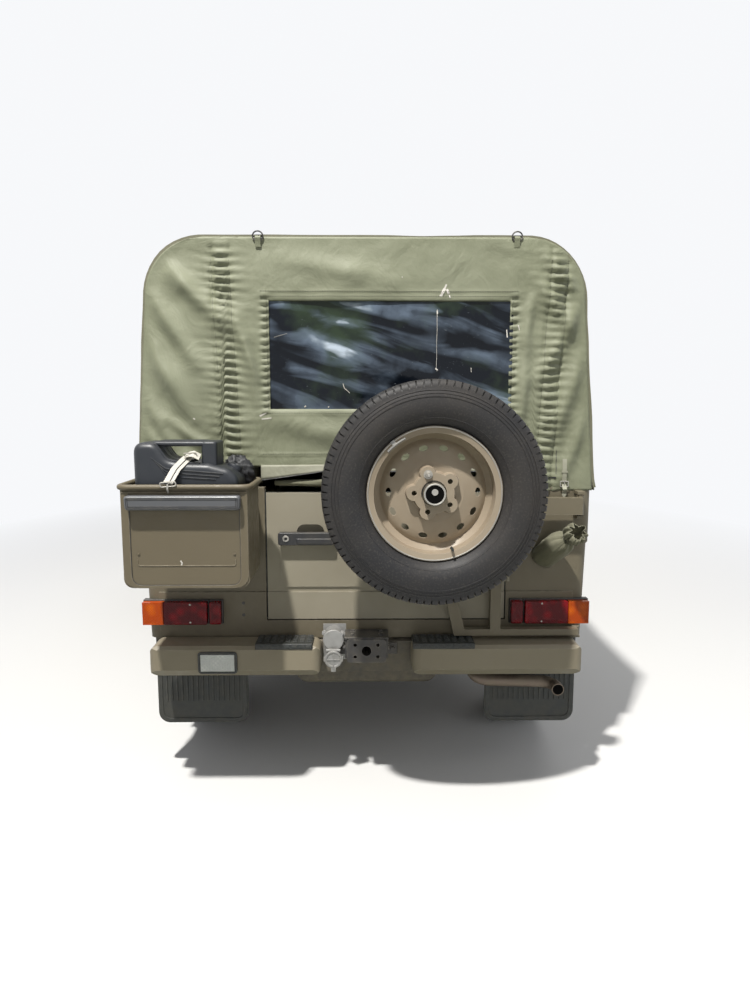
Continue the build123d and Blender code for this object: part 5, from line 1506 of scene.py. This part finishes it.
def coupling_trim():
    """Plates and bolts of the tow coupling."""
    plates = [box((-0.082, 0.082), (-2.044, -1.942), (0.61, 0.618))]
    plates += [side_box(out, (0.072, 0.08), (-2.04, -1.942), (0.536, 0.61)) for out in SIDES]
    plates.append(box((-0.118, 0.118), (-1.9475, -1.9395), (0.52, 0.566)))
    make("coupling_plates", plates, black_iron, bevel=0.002)
    bolts = []
    for out in SIDES:
        bolts += nut((out * 0.1, -1.9475, 0.543), BACK, 0.009, 0.008)
        for y in (-2.015, -1.97):
            bolts += nut((out * 0.052, y, 0.618), UP, 0.008, 0.007)
            bolts += nut((out * 0.08, y, 0.57), (out, 0, 0), 0.008, 0.007)
    make("coupling_bolts", bolts, black_iron)
    socket_trim()


def socket_trim():
    """The trailer socket's flange and ears, its contacts, and the open lid with its ribs and hinge."""
    centre = Vector((-0.124, -2.002, 0.598))
    x = centre.x
    rim = [(0, 0.0362), (0.004, 0.0395), (0.01, 0.0395), (0.012, 0.037), (0.012, 0.03)]
    castings = [lathe(rim, centre, BACK, 36)]
    for turn in (0.6, 2.5, 4.7):
        place = centre + Vector((0.041 * cos(turn), 0.004, 0.041 * sin(turn)))
        castings.append(disc(place, BACK, 0.0105, 0.008, 18))
        castings += nut(place + Vector((0, -0.008, 0)), BACK, 0.0055, 0.005)
    castings.append(disc((-0.15, -2.018, 0.5605), RIGHT, 0.006, 0.052, 14))
    lid, low, high = -2.0245, 0.519, 0.537
    rim = [(0, 0.0335), (0.004, 0.0335), (0.006, 0.031), (0.006, 0.026), (0.003, 0.024)]
    castings += [
        lathe(rim, (x, lid + 0.003, 0.527), BACK, 36),
        box((-0.133, -0.115), (lid - 0.003, lid + 0.01), (0.48, 0.5)),
        box((-0.16, -0.15), (lid - 0.001, lid + 0.009), (low, high)),
        box((-0.098, -0.088), (lid - 0.001, lid + 0.009), (low, high)),
        fin(x, 0.0015, (lid - 0.004, lid), (0.503, 0.551)),
        box((-0.148, -0.1), (lid - 0.004, lid), (0.5255, 0.5285)),
    ]
    make("socket_castings", castings, cast_aluminium, bevel=0.001)
    face = disc(centre + Vector((0, -0.0075, 0)), BACK, 0.03, 0.001, 30)
    make("socket_face", [face], black_plastic)
    pins = []
    for r, turn in [(0.0175, pi / 3 * k) for k in range(6)] + [(0.0, 0.0)]:
        place = centre + Vector((r * cos(turn), -0.0085, r * sin(turn)))
        pins.append(disc(place, BACK, 0.0036, 0.003, 12))
    make("socket_contacts", pins, bare_steel)


def spare_wheel_trim():
    """Bright steel ring on the lip of the spare's rim, its balance weight, valve, a stud with its nut, the
    spindle's end.
    """
    def fit(name, shapes, finish):
        make(name, shapes, finish, "spare_carrier")

    y = SPARE.y - 0.0785
    lip, inner = (SPARE.x, y, SPARE.z), (SPARE.x, y + 0.002, SPARE.z)
    fit("spare_rim_edge", [hoop(lip, 0.2165, 0.0022, 8, 96)], bare_steel)
    arc = [radians(118 + 2.2 * k) for k in range(10)]
    weight = [round_about(inner, 0.2045, t) for t in arc]
    clip = [round_about((SPARE.x, y - 0.003, SPARE.z), r, arc[5]) for r in (0.205, 0.213, 0.221)]
    shapes = [sweep(weight, circle(0.0048, 10, 0.9, 1.7), False, BACK), ribbon(clip, 0.014, 0.0012)]
    fit("balance_weight", shapes, cast_aluminium)
    place = round_about((SPARE.x, SPARE.y - 0.0505, SPARE.z), 0.065, radians(108))
    stud = lathe([(0, 0.006), (0.03, 0.006), (0.032, 0.0045)], place, BACK, 16)
    fit("spare_stud_nut", nut(place, BACK, 0.0115, 0.014) + [stud], bare_steel)
    front = SPARE.y - 0.08
    sleeve = [
        lathe([(0.0, 0.0385), (0.046, 0.0385)], (SPARE.x, front + 0.047, SPARE.z), BACK, 40, caps=False),
        lathe([(0.0, 0.0267), (0.029, 0.0267)], (SPARE.x, front + 0.0295, SPARE.z), BACK, 36, caps=False),
    ]
    fit("spindle_sleeve", sleeve, black_iron)
    end = (SPARE.x, front, SPARE.z)
    ring = hoop((SPARE.x, front - 0.0005, SPARE.z), 0.033, 0.0034, 8, 48)
    fit("spindle_lip", [ring], bare_steel)
    # Near-black disc in the spindle's open end: painted shade for its hollow inside
    fit("spindle_hollow_shade", [disc(end, BACK, 0.0302, 0.0009, 36, 0.0006)], soot_and_shade_black)
    bolt = [(0.0008, 0.0105), (0.003, 0.0105), (0.0036, 0.0085), (0.003, 0.0055)]
    fit("spindle_bolt", [lathe(bolt, (SPARE.x, front, SPARE.z + 0.007), BACK, 24)], bare_steel)
    stem = round_about((SPARE.x, SPARE.y - 0.066, SPARE.z), 0.188, radians(-72))
    valve = [(0, 0.0055), (0.02, 0.005), (0.021, 0.0045), (0.032, 0.0045)]
    fit("spare_valve", [lathe(valve, stem, BACK, 14)], rubber)


# Sides, front and cab


HINGE_Z = (0.7, 1.05)
MIRROR_ARM = ((0.853, 0.948, 1.118), (0.88, 0.948, 1.118), (0.905, 0.955, 1.14))
# Corners of a door's glass: y, z
DOOR_GLASS = ((0.132, 1.192), (0.132, 1.8), (0.722, 1.8), (0.948, 1.192))


def hood_side_place(out, y, z):
    """Point on the outer face of the side screens above the tub."""
    return Vector((out * (TUB_X - (z - 1.162) * tan(LEAN) - 0.004), y, z))


def door_pieces(side, out):
    """Mirror, handle cover, lock, hinge leaves, glass seal and rib of one front door."""
    def fit(name, shapes, finish, bevel=0):
        make(f"{name}_{side}", shapes, finish, f"door_{side}", bevel)

    outline = upright(oblong((out * 0.8835, out * 1.0435), (1.1065, 1.3195)), 0.026)
    arm = pipe([(out * x, y, z) for x, y, z in MIRROR_ARM], 0.01, 0.0115, 12)
    foot = side_box(out, (0.8545, 0.864), (0.925, 0.972), (1.098, 1.14))
    fit("mirror_shell", [plate(outline, 0.93, 0.038), arm, foot], black_plastic, 0.007)
    pane = inset_line(outline if out > 0 else outline[::-1], 0.009)
    fit("mirror_pane", [plate(pane, 0.9285, 0.003)], mirror_glass)
    cover = side_box(out, (0.853, 0.8825), (0.138, 0.264), (0.983, 1.014))
    backing = side_box(out, (0.8525, 0.8575), (0.128, 0.278), (0.972, 1.024))
    fit("door_handle_cover", [cover, backing], black_plastic, 0.004)
    lock = [(0, 0.0085), (0.003, 0.008), (0.003, 0.005)]
    fit("door_lock", [lathe(lock, (out * 0.8825, 0.16, 0.998), (out, 0, 0), 18)], bare_steel)
    leaves = []
    for z in HINGE_Z:
        leaves.append(disc((out * 0.859, 1.004, z - 0.035), UP, 0.0075, 0.07, 24))
        leaves.append(side_box(out, (0.838, 0.86), (0.95, 0.998), (z - 0.026, z + 0.026)))
    fit("door_hinge_leaves", leaves, paint, 0.003)
    edge = [hood_side_place(out, y, z) for y, z in DOOR_GLASS]
    fit("door_glass_seal", [pipe(edge, 0.03, 0.0042, 8, True)], rubber)
    rib = [(out * (TUB_X - 0.001), y, 0.943) for y in (0.095, 0.99)]
    fit("door_rib", [tube(rib, 0.0035)], paint)


def door_trim():
    """What is fixed to the front doors and round them, and the fuel filler cap."""
    brackets, seals = [], []
    for side, out in zip(("left", "right"), SIDES):
        door_pieces(side, out)
        brackets += [side_box(out, (0.838, 0.8605), (1.0125, 1.036), (z - 0.03, z + 0.03)) for z in HINGE_Z]
        ends = [hood_side_place(out, y, 1.8465) - Vector((out * 0.012, 0, 0)) for y in (0.085, 0.755)]
        seals.append(tube(ends, 0.0062, 10))
    make("door_hinge_brackets", brackets, paint, bevel=0.002)
    make("door_head_seals", seals, rubber)
    centre = (0.8535, -1.6, 1.02)
    flange = lathe([(0, 0.066), (0.004, 0.066), (0.006, 0.062)], centre, RIGHT, 40)
    cap = lathe([(0.004, 0.052), (0.02, 0.05), (0.024, 0.044)], centre, RIGHT, 12)
    make("fuel_filler_cap", [flange, cap], dark_paint, bevel=0.001)


# How far the windscreen leans back
RAKE = radians(19.6)


def screen_point(u, v, lift=0.0):
    """Point on the raked windscreen: across, up along it and lifted off its frame."""
    return Vector((u, 1.066 - v * sin(RAKE) + lift * cos(RAKE), TUB_TOP + v * cos(RAKE) + lift * sin(RAKE)))


def screen_trim():
    """Seal of the windscreen, its two wipers and the folding frame's side brackets."""
    pane = ((-0.768, 0.062), (0.768, 0.062), (0.72, 0.785), (-0.72, 0.785))
    corners = [screen_point(u, v, -0.004) for u, v in pane]
    make("screen_seal", [pipe(corners, 0.05, 0.0065, 10, True)], rubber)
    arms, blades, brackets = [], [], []
    normal = (0, cos(RAKE), sin(RAKE))
    for u in (-0.52, 0.06):
        pivot, tip = screen_point(u, 0.034, 0.002), screen_point(u + 0.215, 0.235, 0.006)
        arms.append(lathe([(0, 0.014), (0.01, 0.013), (0.02, 0.009)], pivot, normal, 18))
        arms.append(tube([pivot + Vector(normal) * 0.014, tip], 0.0042))
        ends = [screen_point(u + 0.04, 0.15, -0.005), screen_point(u + 0.4, 0.33, -0.005)]
        blades.append(tube(ends, 0.0042))
        blades.append(tube([screen_point(u + 0.12, 0.193), screen_point(u + 0.32, 0.293)], 0.003))
    make("wiper_arms", arms, black_iron)
    make("wiper_blades", blades, rubber)
    for out in SIDES:
        brackets.append(side_box(out, (0.8, 0.85), (1.03, 1.105), (1.159, 1.166)))
        brackets += nut((out * 0.825, 1.088, 1.166), UP, 0.01, 0.009)
    make("screen_brackets", brackets, paint, bevel=0.001)


def lamp_trim():
    """Rings, domes and bulb caps of the headlamps, and the rings under the front amber lamps."""
    rings, screws, domes, caps = [], [], [], []
    radii = (0.0875, 0.08, 0.068, 0.052, 0.034, 0.016, 0.002)
    dome = [(0.0085 + 0.0142 * (1 - (r / 0.0875) ** 2), r) for r in radii]
    cap = [(0.0215, 0.017), (0.024, 0.015), (0.025, 0.008)]
    for out in SIDES:
        x, z = out * 0.452, 0.905
        rings.append(hoop((x, 2.191, z), 0.0965, 0.0055, 10, 56))
        for turn in (0.7, 2.4, 4.7):
            screws.append(disc(round_about((x, 2.194, z), 0.0965, turn), AHEAD, 0.004, 0.003, 12))
        domes.append(lathe(dome, (x, PANEL_FRONT, z), AHEAD, 48))
        caps.append(lathe(cap, (x, PANEL_FRONT, z), AHEAD, 28))
    for out in SIDES:
        rings.append(lathe([(0, 0.048), (0.006, 0.048), (0.008, 0.042)], (out * 0.745, 2.05, 1.074), UP, 32))
    make("lamp_rings", rings, black_plastic)
    make("headlamp_domes", domes, headlamp_lens)
    make("headlamp_bulb_caps", caps, bare_steel)
    make("lamp_ring_screws", screws, bare_steel)


def front_trim():
    """Lamps, radiator behind the grille, bonnet hinges and catches, bumper bolts and lashing eyes."""
    lamp_trim()
    wide, tall = (-0.296, 0.296), (0.772, 1.033)
    radiator = [box(wide, (2.132, 2.14), tall)]
    radiator += [box(wide, (2.14, 2.146), (z, z + 0.0022)) for z in row(0.776, 0.0072, 36)]
    radiator += [fin(x, 0.0035, (2.139, 2.1445), tall) for x in row(-0.26, 0.065, 9)]
    make("radiator_fins", radiator, black_iron)
    hinges, catches, bolts, eyes = [], [], [], []
    for out in SIDES:
        hinges.append(disc((out * 0.42 - 0.035, 1.122, 1.172), RIGHT, 0.0085, 0.07, 16))
        hinges.append(fin(out * 0.42, 0.03, (1.082, 1.118), (1.159, 1.165)))
        loop = ((0.64, 1.938, 1.079), (0.628, 1.94, 1.106), (0.628, 1.96, 1.106), (0.64, 1.962, 1.079))
        catches.append(side_box(out, (0.626, 0.65), (1.93, 1.97), (1.074, 1.079)))
        catches.append(pipe([(out * x, y, z) for x, y, z in loop], 0.006, 0.003))
        for x in (0.33, 0.38):
            bolts += nut((out * x, 2.29, 0.59), UP, 0.011, 0.008)
        ring = [(out * 0.25, 2.262 + 0.02 * cos(t), 0.612 + 0.022 * sin(t)) for t in turns(24)]
        eyes.append(tube(ring, 0.006, 10, True))
    make("bonnet_hinges", hinges, paint, bevel=0.002)
    make("bonnet_catches", catches, rubber)
    make("front_bumper_bolts", bolts, bare_steel)
    make("front_lashing_eyes", eyes, dark_paint)


def engine_trim():
    """Rocker cover, air cleaner, pipes and fan that show with the bonnet open."""
    rear, front = ENGINE_REAR, ENGINE_FRONT
    cover = box((-0.085, 0.085), (rear + 0.06, front - 0.06), (1.008, 1.05))
    make("rocker_cover", [cover], cast_aluminium, bevel=0.014)
    fins = [fin(x, 0.003, (rear + 0.09, front - 0.09), (1.048, 1.054)) for x in row(-0.06, 0.02, 7)]
    make("rocker_cover_fins", fins, cast_aluminium)
    drum = [(0, 0.086), (0.012, 0.092), (0.05, 0.092), (0.056, 0.086), (0.057, 0.026), (0.064, 0.02)]
    make("air_cleaner", [lathe(drum, (-0.155, rear + 0.3, 1.009), UP)], black_iron)
    inlet = [(-0.155, rear + 0.22, 1.035), (-0.155, rear + 0.08, 1.035), (-0.06, rear + 0.05, 1.03)]
    coolant = [(0.13, front - 0.02, 0.975), (0.13, front + 0.09, 0.985), (0.17, 2.128, 0.985)]
    heater = [(0.14, rear + 0.1, 1.012), (0.16, rear + 0.04, 1.05), (0.2, rear + 0.01, 1.0)]
    hoses = [pipe(inlet, 0.05, 0.022, 14), pipe(coolant, 0.05, 0.021, 14), pipe(heater, 0.03, 0.012, 10)]
    make("engine_hoses", hoses, rubber)
    pipes, caps = [], []
    bend = ((0.19, 1.011), (0.19, 1.034), (0.12, 1.062), (0.07, 1.056))
    for y in row(rear + 0.14, 0.095, 5):
        pipes.append(pipe([(x, y, z) for x, z in bend], 0.014, 0.0035))
        caps += nut((0.19, y, 1.01), UP, 0.011, 0.01)
    make("injector_pipes", pipes + caps, bare_steel)
    filler = lathe([(0, 0.028), (0.014, 0.028), (0.018, 0.024)], (0.0, front - 0.14, 1.054), UP, 24)
    make("oil_filler_cap", [filler], black_plastic)
    blades = [lathe([(0, 0.045), (0.03, 0.045), (0.034, 0.03)], (0, front + 0.001, 0.87), AHEAD, 28)]
    middle = Vector((0, front + 0.022, 0.87))
    for turn in turns(7):
        along, side = Vector((cos(turn), 0, sin(turn))), Vector((-sin(turn), 0, cos(turn)))
        line = [middle + along * r for r in (0.04, 0.09, 0.15)]
        blades.append(ribbon(line, 0.046, 0.003, (side * 0.5 + Vector(AHEAD)).normalized()))
    make("fan", blades, black_plastic)


def cab_trim():
    """Gauges and grab bar on the dashboard, gear levers, pedals and floor mat."""
    dials, rims, levers, pedals = [], [], [], []
    facing = (0, -1, 0.07)
    gauges = ((-0.44, 1.062, 0.046), (-0.33, 1.062, 0.046), (-0.385, 1.02, 0.022), (-0.24, 1.02, 0.024))
    for x, z, r in gauges:
        ring = [(0, r + 0.004), (0.008, r + 0.003), (0.008, r - 0.002), (0.003, r - 0.003)]
        face = [(0.001, r - 0.003), (0.003, r - 0.003), (0.0036, 0.003)]
        rims.append(lathe(ring, (x, 0.853, z), facing, 30))
        dials.append(lathe(face, (x, 0.853, z), facing, 30))
    make("gauge_rims", rims, black_iron)
    make("gauge_faces", dials, rubber)
    grab = [(0.2, 0.852, 1.08), (0.2, 0.822, 1.082), (0.56, 0.822, 1.082), (0.56, 0.852, 1.08)]
    make("grab_bar", [pipe(grab, 0.02, 0.009, 10)], black_plastic)
    boot = [(0, 0.045), (0.01, 0.042), (0.035, 0.018), (0.045, 0.012)]
    knob = [(0, 0.01), (0.01, 0.02), (0.024, 0.024), (0.038, 0.018), (0.046, 0.006)]
    for x, y, top in ((0.0, 0.6, 1.01), (0.07, 0.52, 0.93)):
        foot, head = Vector((x, y, 0.788)), Vector((x - 0.01, y - 0.07, top))
        run = head - foot
        levers += [lathe(boot, foot, run, 24), tube([foot, head], 0.0065, 10), lathe(knob, head, run, 20)]
    make("gear_levers", levers, black_plastic)
    for x in (-0.51, -0.42, -0.32):
        pedals.append(fin(x, 0.028, (0.89, 0.902), (0.735, 0.8)))
        pedals.append(tube([(x, 0.902, 0.78), (x, 1.0, 0.96)], 0.007))
    make("pedals", pedals, rubber, bevel=0.003)
    mats = [side_box(out, (0.18, 0.79), (0.31, 1.04), (0.6302, 0.636)) for out in SIDES]
    mats += [fin(x, 0.004, (-1.8, 0.05), (0.63, 0.6345)) for x in row(-0.44, 0.055, 17)]
    make("floor_mats", mats, rubber)


# Lamps of the studio: name, place, size, power, colour, whether they show in reflections
LAMPS = (
    ("key", (-1.6, -5.5, 8.4), 0.3, 1120, (1.0, 0.975, 0.93), True),
    ("low", (0.6, -6.5, 1.6), 2.4, 24, (1.0, 0.98, 0.95), False),
    ("fill", (4.6, -3.4, 3.0), 3.2, 30, (0.94, 0.97, 1.0), True),
    ("top", (0.0, 0.5, 5.6), 4.5, 40, (1.0, 1.0, 1.0), True),
    ("front", (2.4, 6.0, 3.6), 3.0, 150, (1.0, 0.99, 0.97), False),
)
AIM = Vector((0, 0, 0.9))
BACKDROP = (0.97, 0.98, 1.0, 1)
PAPER = (0.74, 0.74, 0.735)
GRASS_GLOW = (0.15, 0.16, 0.12)
# Strength of the world where it is seen and where it only lights, and where the floor fades into it
SEEN_STRENGTH, LIT_STRENGTH = 0.96, 0.25
FADE_START, FADE_END = 1.7, 5.2
# The camera of the photograph: place, degrees below level, degrees to the right, focal length
CAMERA_PLACE = (0, -4.61, 1.48)
CAMERA_DOWN, CAMERA_RIGHT = 7.75, 0.7
CAMERA_LENS, CAMERA_SENSOR = 25.92, 36


def stage():
    """Pale floor that fades into a pale world and throws a greener, darker light than it shows."""
    paper = Finish("floor_paper", PAPER, 0.95)
    stretch = ((0, paper.place()), (1, (1.0, 0.62, 0.0)))
    stretched = paper.node("VectorMath", stretch, operation="MULTIPLY").outputs[0]
    distance = paper.node("VectorMath", ((0, stretched),), operation="LENGTH").outputs["Value"]
    pale = paper.node("Emission", (("Color", BACKDROP), ("Strength", SEEN_STRENGTH)))
    seen = paper.seen_ray()
    paper.feed(Base_Color=paper.mix(seen, GRASS_GLOW, PAPER))
    far = paper.times(paper.span(distance, FADE_START, FADE_END), seen)
    fade = paper.node("MixShader", ((0, far), (1, paper.shader.outputs[0]), (2, pale.outputs[0])))
    paper.tree.links.new(fade.outputs[0], paper.tree.nodes["Material Output"].inputs["Surface"])
    floor = make("floor", [box((-40, 40), (-40, 40), (-0.02, 0))], paper.material)
    world = bpy.data.worlds.new("studio")
    scene.world = world
    world.use_nodes = True
    sky = Shading()
    sky.tree = world.node_tree
    background = sky.tree.nodes["Background"].inputs
    background["Color"].default_value = BACKDROP
    strength = sky.span(sky.seen_ray(), 0.0, 1.0, LIT_STRENGTH, SEEN_STRENGTH)
    sky.tree.links.new(strength, background["Strength"])


def lamps_and_camera():
    """Soft lamps and the camera at the photograph's place."""
    for name, place, size, power, tint, reflected in LAMPS:
        lamp = bpy.data.lights.new(name, "AREA")
        lamp.energy = power
        lamp.size = size
        lamp.color = tint
        holder = bpy.data.objects.new(name, lamp)
        holder.location = place
        holder.rotation_euler = (AIM - Vector(place)).to_track_quat("-Z", "Y").to_euler()
        holder.visible_glossy = reflected
        scene.collection.objects.link(holder)
    camera = bpy.data.cameras.new("camera")
    camera.lens = CAMERA_LENS
    camera.sensor_width = CAMERA_SENSOR
    holder = bpy.data.objects.new("camera", camera)
    holder.location = CAMERA_PLACE
    holder.rotation_euler = (radians(90 - CAMERA_DOWN), 0, radians(-CAMERA_RIGHT))
    scene.collection.objects.link(holder)
    scene.camera = holder
    scene.view_settings.view_transform = "Standard"


for step in (
    dress_nodes, hood_cover, rear_curtain, window_sheets, stitches, hood_binding, wheels, springs,
    seats, jerrycan, can_holder_trim, aerial_sleeve, hood_fittings, hood_scuffs, film_scratches_and_highlights,
    hood_front_hem, side_fastenings, tail_lamp_trim, rear_door_trim, bumper_trim, mud_flap_ribs,
    exhaust_end, coupling_trim, spare_wheel_trim, door_trim, screen_trim, front_trim, engine_trim,
    cab_trim, stage, lamps_and_camera,
):
    step()
